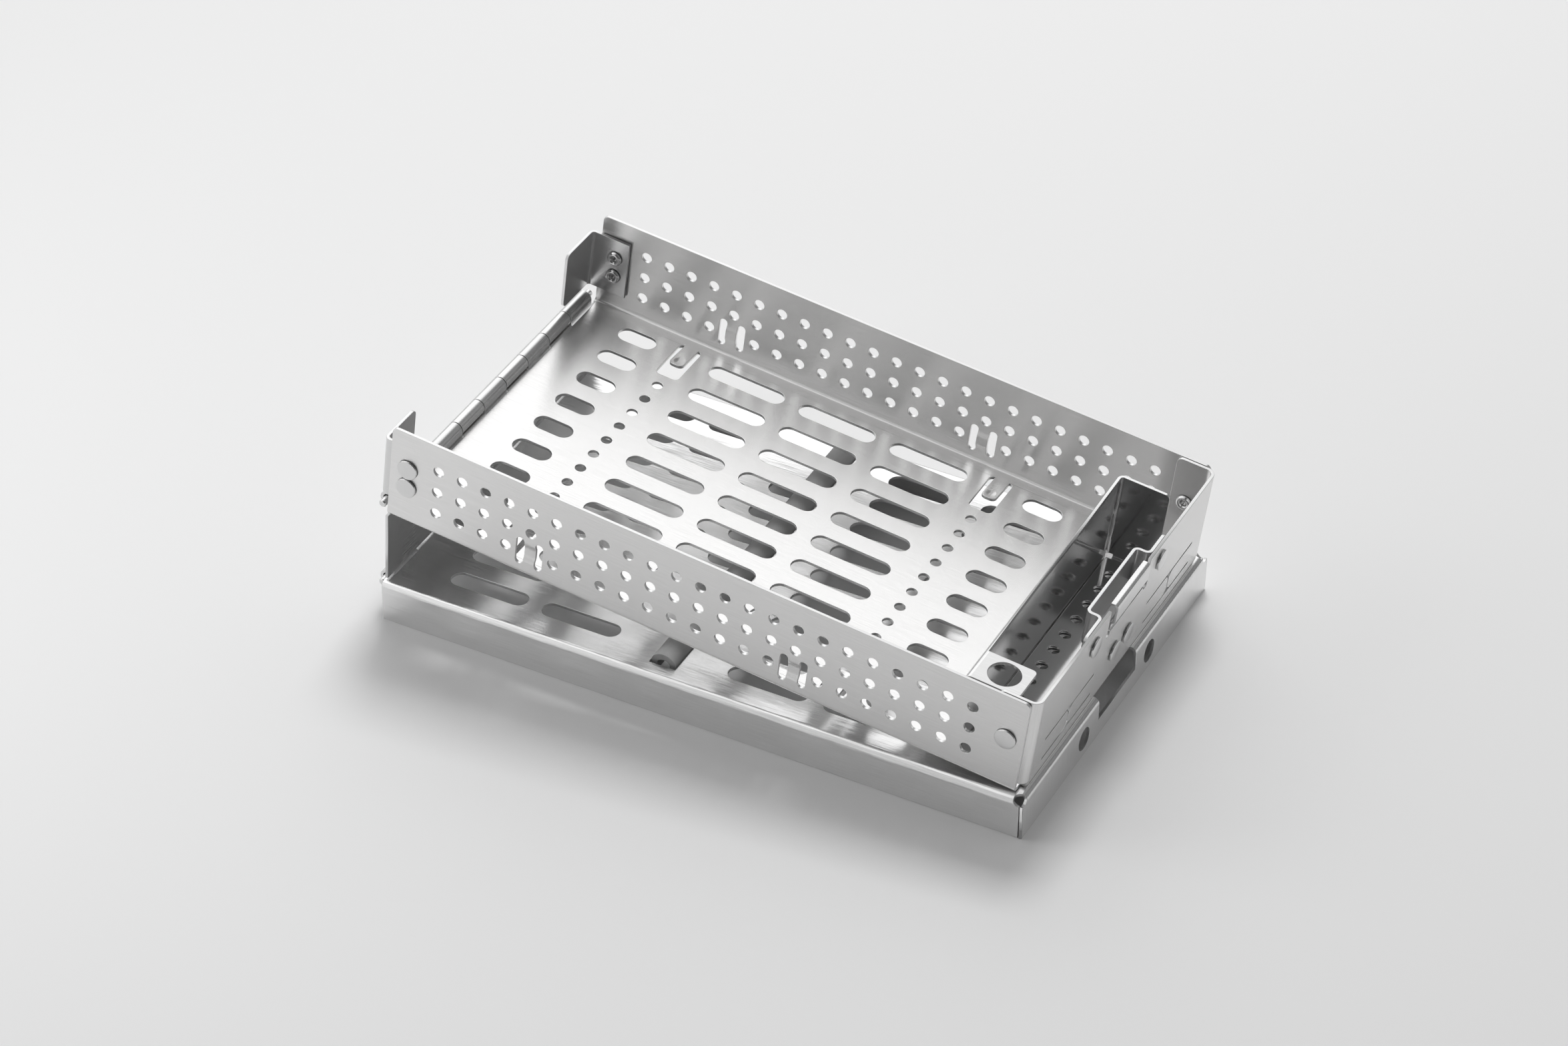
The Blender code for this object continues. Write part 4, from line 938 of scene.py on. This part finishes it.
def on_tongue(flat, x):
    """The points of one floor tongue."""
    slack = OVERRUN / 10
    beside = np.abs(flat[:, 0] - x) < TONGUE_WIDTH / 2 + slack
    return beside & (flat[:, 1] > TONGUE_TIP - slack) & (flat[:, 1] < WINDOW_OUTER)


def tray_surface():
    """The floor, the long walls and the end wall, folded from one blank."""
    wall_end = END_BEND - SEAT_GAP
    flange_bend = WALL_FACE - SHEET - SEAT_GAP - END_CORNER_RADIUS
    corner_neutral = END_CORNER_RADIUS - MID
    flange_end = flange_bend + corner_neutral * QUARTER + END_FLANGE - END_CORNER_RADIUS
    wall = rounded(WALL_START, wall_end, WALL_BEND, wall_y(WALL_TOP), WALL_CORNER, "cd")
    flange = rounded(end_x(SEAT_GAP), end_x(WALL_TOP), flange_bend, flange_end, WALL_CORNER, "c")
    plates = [
        rectangle(NOTCH, wall_end, -WALL_BEND, WALL_BEND),
        rectangle(wall_end, end_x(WALL_TOP), -flange_bend, flange_bend),
    ]
    plates += both_sides([wall, flange])
    plates += knuckle_tabs(EVEN_KNUCKLES, NOTCH, -ROLL_LENGTH)
    cuts = both_sides(wall_cuts())
    for y in SLOT_ROWS:
        cuts += [slot(x, x + SHORT_SLOT, y, SLOT_WIDTH) for x in SHORT_STARTS]
        cuts += [slot(x, x + LONG_SLOT, y, SLOT_WIDTH) for x in LONG_STARTS]
    windows = []
    tongues = []
    half, narrow = WINDOW_WIDTH / 2, TONGUE_WIDTH / 2
    for x in RAIL_HOLE_COLUMNS:
        cuts += hole_row(x)
        windows.append(rounded(x - half, x + half, WINDOW_INNER, WINDOW_OUTER, WINDOW_CORNER))
        tongues.append(rounded(
            x - narrow, x + narrow, TONGUE_TIP, WINDOW_OUTER + OVERRUN, TONGUE_TIP_CORNER, "ab",
        ))
    cuts += both_sides(windows)
    cuts += hole_row(DIVIDER_HOLE_COLUMN)
    bottom = end_x(WALL_TOP - CUTOUT_DEPTH)
    cuts.append(rectangle(bottom, end_x(WALL_TOP) + OVERRUN, -CUTOUT_HALF, CUTOUT_HALF))
    cuts += both_sides([
        disc(bottom, CUTOUT_HALF - CUTOUT_RELIEF / 4, CUTOUT_RELIEF),
        disc(end_x(CORNER_RIVET_HEIGHT), flange_end - END_FLANGE + CORNER_RIVET_INSET, RIVET_HOLE),
        disc(end_x(HAT_RIVET_HEIGHT), HAT_RIVET_SIDE, RIVET_HOLE),
        disc(end_x(LEAF_RIVET_HEIGHT), LEAF_RIVET_SIDE, RIVET_HOLE),
    ])
    cuts += both_sides(lance_pair())
    level = FLOOR_BOTTOM + MID
    bends = side_bends(
        flange_bend, 1, level, UP,
        lambda flat: (flat[:, 0] > END_BEND) & (flat[:, 1] > 0), corner_neutral,
    )
    bends += side_bends(
        WALL_BEND, 1, level, UP, lambda flat: (flat[:, 0] < END_BEND) & (flat[:, 1] > 0),
    )
    for x in RAIL_HOLE_COLUMNS:
        bends += side_bends(
            WINDOW_OUTER, -1, level, UP,
            lambda flat, x=x: on_tongue(flat, x), TONGUE_RADIUS, TONGUE_ANGLE, TONGUE_STEPS,
        )
    bends += [
        Bend((END_BEND, 0, level), (1, 0, 0), UP, lambda flat: flat[:, 0] > END_BEND),
        knuckle_roll(0, -1, 1, lambda flat: np.abs(flat[:, 1]) < HINGE_HALF),
    ]
    patches, lines = both_sides(tongues), press_lines()
    surface = sheet_surface(plates, cuts, bends, SHEET, level, patches, lines, press_tray)
    carried = surface[2]
    carried["across"][carried["blank"][:, 0] < 0] *= ROLL_POLISH
    return surface


# End panel


def panel_surface():
    """The plain link between the two hinges, rolled on both edges."""
    plates = [rectangle(NOTCH, PANEL_LENGTH - NOTCH, -PANEL_HALF, PANEL_HALF)]
    plates += knuckle_tabs(ODD_KNUCKLES, NOTCH, -ROLL_LENGTH)
    plates += knuckle_tabs(ODD_KNUCKLES, PANEL_LENGTH - NOTCH, PANEL_LENGTH + ROLL_LENGTH)
    half_way = PANEL_LENGTH / 2
    bends = [
        knuckle_roll(0, -1, -1, lambda flat: flat[:, 0] < half_way),
        knuckle_roll(PANEL_LENGTH, 1, -1, lambda flat: flat[:, 0] > half_way),
    ]
    surface = sheet_surface(plates, [], bends, SHEET, BARREL_NEUTRAL, across=(1, 0, 0))
    carried = surface[2]
    rolled = np.abs(carried["blank"][:, 0] - half_way) > half_way
    carried["across"][rolled] *= ROLL_POLISH
    return surface


# Lid


def lid_end_x(drop):
    """Place on the blank of a depth below the lid's top face, down its end skirt."""
    return LID_END_BEND + QUARTER_LENGTH + drop - OUTER_RADIUS


def lid_surface():
    """The slotted lid with its three skirts, folded from one blank."""
    skirt = QUARTER_LENGTH + LID_SKIRT
    plates = [
        rectangle(NOTCH, LID_END_BEND, -LID_BEND, LID_BEND),
        rectangle(LID_END_BEND, LID_END_BEND + skirt, -LID_FACE, LID_FACE),
    ]
    plates += both_sides([
        rectangle(LID_SIDE_START, LID_SIDE_END, LID_BEND, LID_BEND + skirt),
        rectangle(LID_SIDE_START, NOTCH, HINGE_HALF + KNUCKLE_GAP, LID_BEND),
    ])
    plates += knuckle_tabs(EVEN_KNUCKLES, NOTCH, -ROLL_LENGTH)
    cuts = []
    for column, x in enumerate(LID_SLOT_STARTS):
        rows = SLOT_ROWS[1:-2] + SLOT_ROW_PITCH / 2 if column == RAIL_SLOT_COLUMN else SLOT_ROWS
        cuts += [slot(x, x + LONG_SLOT, y, SLOT_WIDTH) for y in rows]
    half = RAIL_WIDTH / 2 + SEAT_GAP
    end = RAIL_HALF_LENGTH + SEAT_GAP
    cuts.append(rectangle(RAIL_CENTRE - half, RAIL_CENTRE + half, -end, end))
    cuts.append(rectangle(
        LID_REACH - LID_WINDOW_INSET, lid_end_x(LID_WINDOW_DROP), -LID_WINDOW_HALF, LID_WINDOW_HALF,
    ))
    drop = WALL_TOP + SEAT_GAP + SHEET - HAT_RIVET_HEIGHT
    cuts += both_sides([
        disc(LID_END_BEND + LID_RELIEF_OUT, LID_BEND + LID_RELIEF_OUT, LID_RELIEF_HOLE),
        disc(lid_end_x(drop), HAT_RIVET_SIDE, LID_RIVET_HOLE),
    ])
    level = BARREL_NEUTRAL
    bends = side_bends(
        LID_BEND, 1, level, DOWN, lambda flat: flat[:, 1] - LID_BEND > flat[:, 0] - LID_END_BEND,
    )
    bends += [
        Bend(
            (LID_END_BEND, 0, level), (1, 0, 0), DOWN,
            lambda flat: np.abs(flat[:, 1]) - LID_BEND < flat[:, 0] - LID_END_BEND,
        ),
        knuckle_roll(0, -1, -1, lambda flat: np.abs(flat[:, 1]) < HINGE_HALF),
    ]
    return sheet_surface(plates, cuts, bends, SHEET, level)


# Brackets, leaf and divider


def bracket_surface():
    """An L across the open corner, flat in its own plane with one leg turned in."""
    bend_start = NEUTRAL - (BRACKET_FACE - MID)
    end_place = bend_start - QUARTER_LENGTH - (BRACKET_INWARD - SEAT_GAP - OUTER_RADIUS)
    plates = [
        rectangle(bend_start, BRACKET_REACH, BRACKET_LOW, BRACKET_HIGH),
        rounded(end_place, bend_start, BRACKET_LOW, BRACKET_HIGH, BRACKET_CORNER, "ad"),
    ]
    cuts = [disc(BRACKET_RIVET_AHEAD, height, RIVET_HOLE) for height in BRACKET_RIVET_HEIGHTS]
    bends = [Bend((bend_start, 0, 0), (-1, 0, 0), DOWN, lambda flat: flat[:, 0] < bend_start)]
    return sheet_surface(plates, cuts, bends)


def hat_surface():
    """The hat-shaped guide behind the latch leaf."""
    first = HAT_LEG - MID - NEUTRAL
    second = first + QUARTER_LENGTH + HAT_DEPTH - 2 * NEUTRAL
    end = second + QUARTER_LENGTH + HAT_FLANGE_END - (HAT_LEG - MID + NEUTRAL)
    plates = [rounded(HAT_LOW, HAT_HIGH, -end, end, HAT_CORNER)]
    rivet = disc(HAT_RIVET_HEIGHT, end - (HAT_FLANGE_END - HAT_RIVET_SIDE), RIVET_HOLE)
    bends = side_bends(second, 1, 0, DOWN, lambda flat: flat[:, 1] > second)
    bends += side_bends(first, 1, 0, UP, lambda flat: flat[:, 1] > first)
    return sheet_surface(plates, both_sides([rivet]), bends)


def leaf_surface():
    """The sprung leaf: a plain foot, a joggle out, a proud lip and a hemmed top.

    A joggle is two opposite bends with a straight ramp between them. Its offset is
    2 n (1 - cos a) + ramp sin a, and its height 2 n sin a + ramp cos a.
    """
    neutral = LEAF_BEND_RADIUS + LEAF_MID
    angle = LEAF_STEP_ANGLE
    turns = []
    start = height = 0.0
    for foot, offset in ((LEAF_STEP_HEIGHT, LEAF_STEP), (LEAF_LIP_HEIGHT, LEAF_LIP_STEP)):
        ramp = (offset - 2 * neutral * (1 - math.cos(angle))) / math.sin(angle)
        start += foot - height
        back = start + neutral * angle + ramp
        turns += [(start, UP, angle), (back, DOWN, angle)]
        start = back + neutral * angle
        height = foot + 2 * neutral * math.sin(angle) + ramp * math.cos(angle)
    start += LEAF_TOP - LEAF_MID - neutral - height
    turns.append((start, DOWN, QUARTER))
    end = start + neutral * QUARTER + LEAF_HEM
    plates = [rounded(LEAF_LOW, end, -LEAF_HALF, LEAF_HALF, LEAF_CORNER, "ad")]
    cuts = both_sides([disc(LEAF_RIVET_HEIGHT, LEAF_RIVET_SIDE, RIVET_HOLE)])
    bends = [
        Bend(
            (start, 0, 0), (1, 0, 0), toward,
            lambda flat, start=start: flat[:, 0] > start, neutral, turn,
        )
        for start, toward, turn in reversed(turns)
    ]
    return sheet_surface(plates, cuts, bends, LEAF_SHEET)


def divider_surface():
    """The accessory divider: a cross wall, a far flange, a foot plate and a ring tab.

    The cross wall reaches down to the floor beside the bend of the foot plate. The plate is
    stretched evenly over its width, so that its edge lies a gap away from the cross wall.
    """
    foot = FLOOR_TOP + SEAT_GAP + MID + NEUTRAL
    wall_foot = FLOOR_TOP + SEAT_GAP
    top = DIVIDER_TOP - MID - NEUTRAL
    flange_bend = DIVIDER_FAR - OUTER_RADIUS
    flange_start = flange_bend + QUARTER_LENGTH
    flange_end = flange_start + DIVIDER_FLANGE - OUTER_RADIUS
    plate_start = foot - QUARTER_LENGTH
    plate_end = flange_start + DIVIDER_PLATE - OUTER_RADIUS
    tab_end = top + QUARTER_LENGTH + RING_TAB_REACH - OUTER_RADIUS
    tab_far = RING_TAB_LENGTH - DIVIDER_NEAR
    clear = flange_start + OVERRUN
    plates = [
        rectangle(wall_foot, DIVIDER_TOP, tab_far, flange_bend),
        rectangle(wall_foot, top, -DIVIDER_NEAR, tab_far),
        rounded(top, tab_end, -DIVIDER_NEAR, tab_far, RING_TAB_CORNER, "bc"),
        rounded(foot, DIVIDER_TOP, flange_bend, flange_end, DIVIDER_CORNER, "c"),
        rectangle(plate_start, foot, clear, flange_end),
        rectangle(plate_start - flange_bend - DIVIDER_PLATE_NEAR, plate_start, clear, plate_end),
    ]
    ring_across = RING_TAB_LENGTH / 2 - DIVIDER_NEAR
    cuts = [disc(tab_end - RING_TAB_REACH / 2 + OUTER_RADIUS / 2, ring_across, RING_HOLE)]
    column = flange_start + DIVIDER_HOLE_COLUMN - DIVIDER_FACE - OUTER_RADIUS
    for y in RAIL_HOLE_PLACES:
        cuts.append(disc(plate_start - flange_bend + y, column, RAIL_HOLE, SMALL_HOLE_SIDES))
    bends = [
        Bend(
            (foot, 0, 0), (-1, 0, 0), UP,
            lambda flat: (flat[:, 1] > flange_start) & (flat[:, 0] < foot),
        ),
        Bend((0, flange_bend, 0), (0, 1, 0), UP, lambda flat: flat[:, 1] > flange_bend),
        Bend(
            (top, 0, 0), (1, 0, 0), UP,
            lambda flat: (flat[:, 0] > top) & (flat[:, 1] < tab_far + MID),
        ),
    ]
    points, face_sets, carried = sheet_surface(plates, cuts, bends)
    plate = carried["blank"][:, 0] < plate_start
    from_wall = points[:, 2]
    edge, width = from_wall[plate].min(), np.ptp(from_wall[plate])
    stretch = (edge - MID - SEAT_GAP) * (1 - (from_wall - edge) / width)
    points[:, 2] -= np.where(plate, stretch, 0)
    carried["across"][plate] = (0, 1, 0)
    carried["blank"][plate] = carried["blank"][plate][:, [1, 0, 2]]
    return points, face_sets, carried


# Rail, pins and rivets


def rail_surface():
    """The rail's closed profile in X and Z, carried along Y, with its ends closed by triangles."""
    inside, outside = BARREL - SHEET - SEAT_GAP, BARREL
    half = RAIL_WIDTH / 2
    foot, bore = half + RAIL_FOOT, half - RAIL_WALL
    low = inside - RAIL_FOOT_HEIGHT
    up = np.linspace(0, math.pi, ARCH_STEPS + 1)
    top = np.column_stack([half * np.cos(up), outside + RAIL_RISE * np.sin(up)])
    hollow = np.column_stack([-bore * np.cos(up), outside + (RAIL_RISE - RAIL_WALL) * np.sin(up)])
    right = [(foot, low), (foot, inside), (half, inside)]
    left = [(-half, inside), (-foot, inside), (-foot, low), (-bore, low)]
    profile = np.vstack([right, top, left, hollow, [(bore, low)]])
    profile[:, 0] += RAIL_CENTRE
    count = len(profile)
    length = RAIL_HALF_LENGTH - RAIL_END_GAP
    ends = [np.insert(profile, 1, y, axis=1) for y in (-length, length)]
    ring = [Vector(p) for p in profile.tolist()]
    edges = [(i, (i + 1) % count) for i in range(count)]
    caps = delaunay_2d_cdt(ring, edges, [], 1, WELD / 10)[2]
    caps = np.array([tuple(face) for face in caps])
    caps = np.vstack([caps, caps[:, ::-1] + count])
    return np.vstack(ends), [grid_faces(2, count, True), caps], {}


def pin_profile():
    """A plain wire pin with chamfered ends."""
    half = PANEL_HALF - PIN_END_INSET
    return [
        (0, -half),
        (PIN_RADIUS - PIN_CHAMFER, -half),
        (PIN_RADIUS, PIN_CHAMFER - half),
        (PIN_RADIUS, half - PIN_CHAMFER),
        (PIN_RADIUS - PIN_CHAMFER, half),
        (0, half),
    ]


def rivet_profile(grip):
    """A semi-tubular rivet: a low domed head below and a rolled collar above the grip."""
    head, shank = RIVET_HEAD / 2, RIVET_SHANK / 2
    roll, bore = RIVET_ROLL / 2, RIVET_BORE / 2
    rows = [(head * s, RIVET_DOME * s * s - RIVET_HEAD_HEIGHT) for s in RIVET_DOME_STEPS]
    centre = (head - RIVET_EDGE, RIVET_EDGE + RIVET_DOME - RIVET_HEAD_HEIGHT)
    rows += arc(centre, RIVET_EDGE, -QUARTER, 0, EDGE_STEPS).tolist()
    rows += [(head, 0), (shank, 0), (shank, grip)]
    middle, width = (roll + bore) / 2, (roll - bore) / 2
    for angle in np.linspace(0, math.pi, COLLAR_STEPS + 1):
        rows.append((middle + width * math.cos(angle), grip + RIVET_ROLL_HEIGHT * math.sin(angle)))
    floor = grip + RIVET_ROLL_HEIGHT - RIVET_BORE_DEPTH
    return rows + [(bore, floor), (0, floor)]


def rivet(node, seat, inward, grip):
    """A rivet of the tray with its head at the seat and its shank inward."""
    z, x = np.array(inward, float), np.array(UP, float)
    place = within(TRAY_PLACE, np.column_stack([x, np.cross(z, x), z]), seat)
    name = node.replace("rivet", "set_rivet")
    solid(name, lathe(rivet_profile(grip)), place, "rivet_steel", "tray", node)


# The pieces

solid("perforated_tray", tray_surface(), TRAY_PLACE, "tray_steel", "tray", "tray_shell")
solid("slotted_lid", lid_surface(), LID_PLACE, "lid_steel", "lid", "lid_shell")
solid("hinge_link_panel", panel_surface(), PANEL_PLACE, "panel_steel", "panel", "end_panel")

for side, word in SIDES:
    surface = bracket_surface() if side < 0 else turned_over(bracket_surface())
    wall_layer = side * (WALL_FACE - SHEET - SEAT_GAP - MID)
    standing = np.column_stack([(1, 0, 0), (0, 0, 1), (0, side, 0)])
    place = within(TRAY_PLACE, standing, (0, wall_layer, 0))
    solid(f"corner_angle_{word}", surface, place, "bracket_steel", "tray", f"corner_bracket_{word}")

upright = np.column_stack([(0, 0, 1), (0, -1, 0), (1, 0, 0)])
hat_place = within(TRAY_PLACE, upright, (TRAY_REACH - SHEET - SEAT_GAP - MID - HAT_DEPTH, 0, 0))
solid("latch_guide", hat_surface(), hat_place, "bracket_steel", "tray", "latch_bracket")
leaf_place = within(TRAY_PLACE, upright, (LEAF_PLANE, 0, 0))
solid("sprung_leaf", leaf_surface(), leaf_place, "leaf_steel", "latch", "latch_leaf")

crosswise = np.column_stack([(0, 0, 1), (0, 1, 0), (1, 0, 0)])
divider = turned_over(divider_surface())
divider_place = within(TRAY_PLACE, crosswise, (DIVIDER_FACE + MID, 0, 0))
solid("lift_out_divider", divider, divider_place, "divider_steel", "tray", "accessory_divider")
solid("soft_hold_down_rail", rail_surface(), LID_PLACE, "rail_silicone", "lid", "hold_down_rail")

along_y = np.column_stack([(1, 0, 0), (0, 0, -1), (0, 1, 0)])
wire = lathe(pin_profile())
tray_wire_place = within(TRAY_PLACE, along_y, (0, 0, 0))
lid_wire_place = within(PANEL_PLACE, along_y, (PANEL_LENGTH, 0, 0))
solid("tray_hinge_wire", wire, tray_wire_place, "pin_steel", "tray", "tray_hinge_pin")
solid("lid_hinge_wire", wire, lid_wire_place, "pin_steel", "panel", "lid_hinge_pin")

for side, word in SIDES:
    out, inward = side * (WALL_FACE + SEAT_GAP), (0, -side, 0)
    end = TRAY_REACH + SEAT_GAP
    for level, height in zip(("lower", "upper"), BRACKET_RIVET_HEIGHTS):
        seat = (BRACKET_RIVET_AHEAD, out, height)
        rivet(f"bracket_rivet_{word}_{level}", seat, inward, WALL_GRIP)
    seat = (TRAY_REACH - CORNER_RIVET_INSET, out, CORNER_RIVET_HEIGHT)
    rivet(f"corner_rivet_{word}", seat, inward, WALL_GRIP)
    seat = (end, side * HAT_RIVET_SIDE, HAT_RIVET_HEIGHT)
    rivet(f"latch_bracket_rivet_{word}", seat, (-1, 0, 0), WALL_GRIP)
    seat = (end, side * LEAF_RIVET_SIDE, LEAF_RIVET_HEIGHT)
    rivet(f"latch_leaf_rivet_{word}", seat, (-1, 0, 0), LEAF_GRIP)


# Studio

FLOOR_HALF = 4.0
FLOOR_GREY = 0.93

# Each soft lamp's place, target, width, height and power; none of them is mirrored in the metal
SOFTBOXES = {
    "back_left_softbox": ((-0.78, 1.10, 1.05), (0, 0, 0), 1.3, 1.1, 4.3),
    "high_key_softbox": ((-0.14, 0.66, 1.48), (0, 0, 0), 0.5, 0.5, 10.5),
    "left_softbox": ((-0.46, -0.25, 0.34), (-0.11, -0.09, 0), 0.30, 0.30, 0.50),
}

# The light of the surroundings on matt surfaces, in front and behind
SKY_LIGHT_FRONT = 0.10
SKY_LIGHT_BACK = 0.46

# What the metal mirrors: levels by the X of the direction, in front and behind, the height at
# which the back grows dark, and the Y of the direction over which front turns into back
SKY_FRONT = ((-0.43, 1.15), (-0.33, 0.34), (-0.28, 0.85), (-0.14, 0.45), (0.10, 0.05))
SKY_BACK = ((-0.36, 1.6), (-0.27, 1.3), (-0.06, 1.25), (0.17, 0.26), (0.40, 0.14), (0.60, 0.25))
SKY_LOW = (0.10, 0.34, 0.25)
SKY_TURN = (-0.55, 0.05)

# The photograph's camera in the tray's frame, and the turn vector of its right, down and forward
CAMERA_PLACE = (511.9, -983.0, 915.4)
CAMERA_TURN = (2.2025076, 0.6066981, -0.1309967)
CAMERA_LENS = 107.26
SENSOR_WIDTH = 36.0
CLIP_START, CLIP_END = 0.05, 50.0


def pale_ground():
    """A wide pale floor."""
    mesh = bpy.data.meshes.new("studio_floor")
    corners = [(x, y, 0) for x, y in rectangle(-FLOOR_HALF, FLOOR_HALF, -FLOOR_HALF, FLOOR_HALF)]
    mesh.from_pydata(corners, [], [(0, 1, 2, 3)])
    ground = bpy.data.objects.new("studio_floor", mesh)
    bpy.context.scene.collection.objects.link(ground)
    paint = Finish(
        "studio_floor_paint", Roughness=0.9, Metallic=0.0, Specular_IOR_Level=0.1,
        Base_Color=grey(FLOOR_GREY),
    )
    mesh.materials.append(paint.material)


def softbox(name, place, target, width, height, power):
    """A rectangular soft lamp that faces its target."""
    lamp = bpy.data.lights.new(name, "AREA")
    lamp.shape = "RECTANGLE"
    lamp.size = width
    lamp.size_y = height
    lamp.energy = power
    thing = bpy.data.objects.new(name, lamp)
    thing.location = place
    thing.visible_glossy = False
    thing.rotation_euler = (Vector(target) - Vector(place)).to_track_quat("-Z", "Y").to_euler()
    bpy.context.scene.collection.objects.link(thing)


def studio_world():
    """White to the camera, soft light on matt surfaces, and in the metal a room of light and dark.

    The mirrored level is front + b (back - front), with b rising from 0 to 1 as the direction
    turns from the front to the back; front and back are curves over the direction's X, and the
    back is darker close to the ground.
    """
    world = bpy.data.worlds.new("studio_world")
    world.use_nodes = True
    sky = Nodes(world.node_tree)
    background = sky.tree.nodes["Background"]
    way = sky.node("SeparateXYZ", None, {0: sky.node("TexCoord").outputs["Generated"]})
    start, end, least = SKY_LOW
    low = sky.range(sky.number(way, "Z"), start, end, least, 1.0)
    front = sky.profile(sky.number(way, "X"), SKY_FRONT)
    back = low * sky.profile(sky.number(way, "X"), SKY_BACK)
    behind = sky.range(sky.number(way, "Y"), *SKY_TURN)
    mirrored_sky = front + behind * (back - front)
    soft_light = SKY_LIGHT_FRONT + behind * (SKY_LIGHT_BACK - SKY_LIGHT_FRONT)
    rays = sky.node("LightPath")
    plain = sky.number(rays, "Is Camera Ray") + sky.number(rays, "Is Transmission Ray")
    glossy = sky.number(rays, "Is Glossy Ray")
    level = soft_light + plain * (1 - soft_light) + glossy * (mirrored_sky - soft_light)
    sky.feed(background.inputs["Color"], (1, 1, 1, 1))
    sky.feed(background.inputs["Strength"], level)
    bpy.context.scene.world = world


def turn_from_vector(vector):
    """The turn about a vector by its length in radians."""
    angle = np.linalg.norm(vector)
    x, y, z = np.array(vector) / angle
    skew = np.array([[0, -z, y], [z, 0, -x], [-y, x, 0]])
    return np.eye(3) + math.sin(angle) * skew + (1 - math.cos(angle)) * skew @ skew


def photo_camera():
    """The photograph's camera, worked out from the rows of holes."""
    turn, shift = TRAY_PLACE
    place = (turn @ np.array(CAMERA_PLACE) + shift) * METRES
    right, down, forward = turn_from_vector(CAMERA_TURN) @ turn.T
    data = bpy.data.cameras.new("photo_camera")
    data.sensor_width = SENSOR_WIDTH
    data.lens = CAMERA_LENS
    data.clip_start = CLIP_START
    data.clip_end = CLIP_END
    camera = bpy.data.objects.new("photo_camera", data)
    view = Matrix(np.column_stack([right, -down, -forward]).tolist()).to_4x4()
    camera.matrix_world = Matrix.Translation(place.tolist()) @ view
    bpy.context.scene.collection.objects.link(camera)
    bpy.context.scene.camera = camera


pale_ground()
for name, settings in SOFTBOXES.items():
    softbox(name, *settings)
studio_world()
photo_camera()
bpy.context.scene.view_settings.view_transform = "Standard"
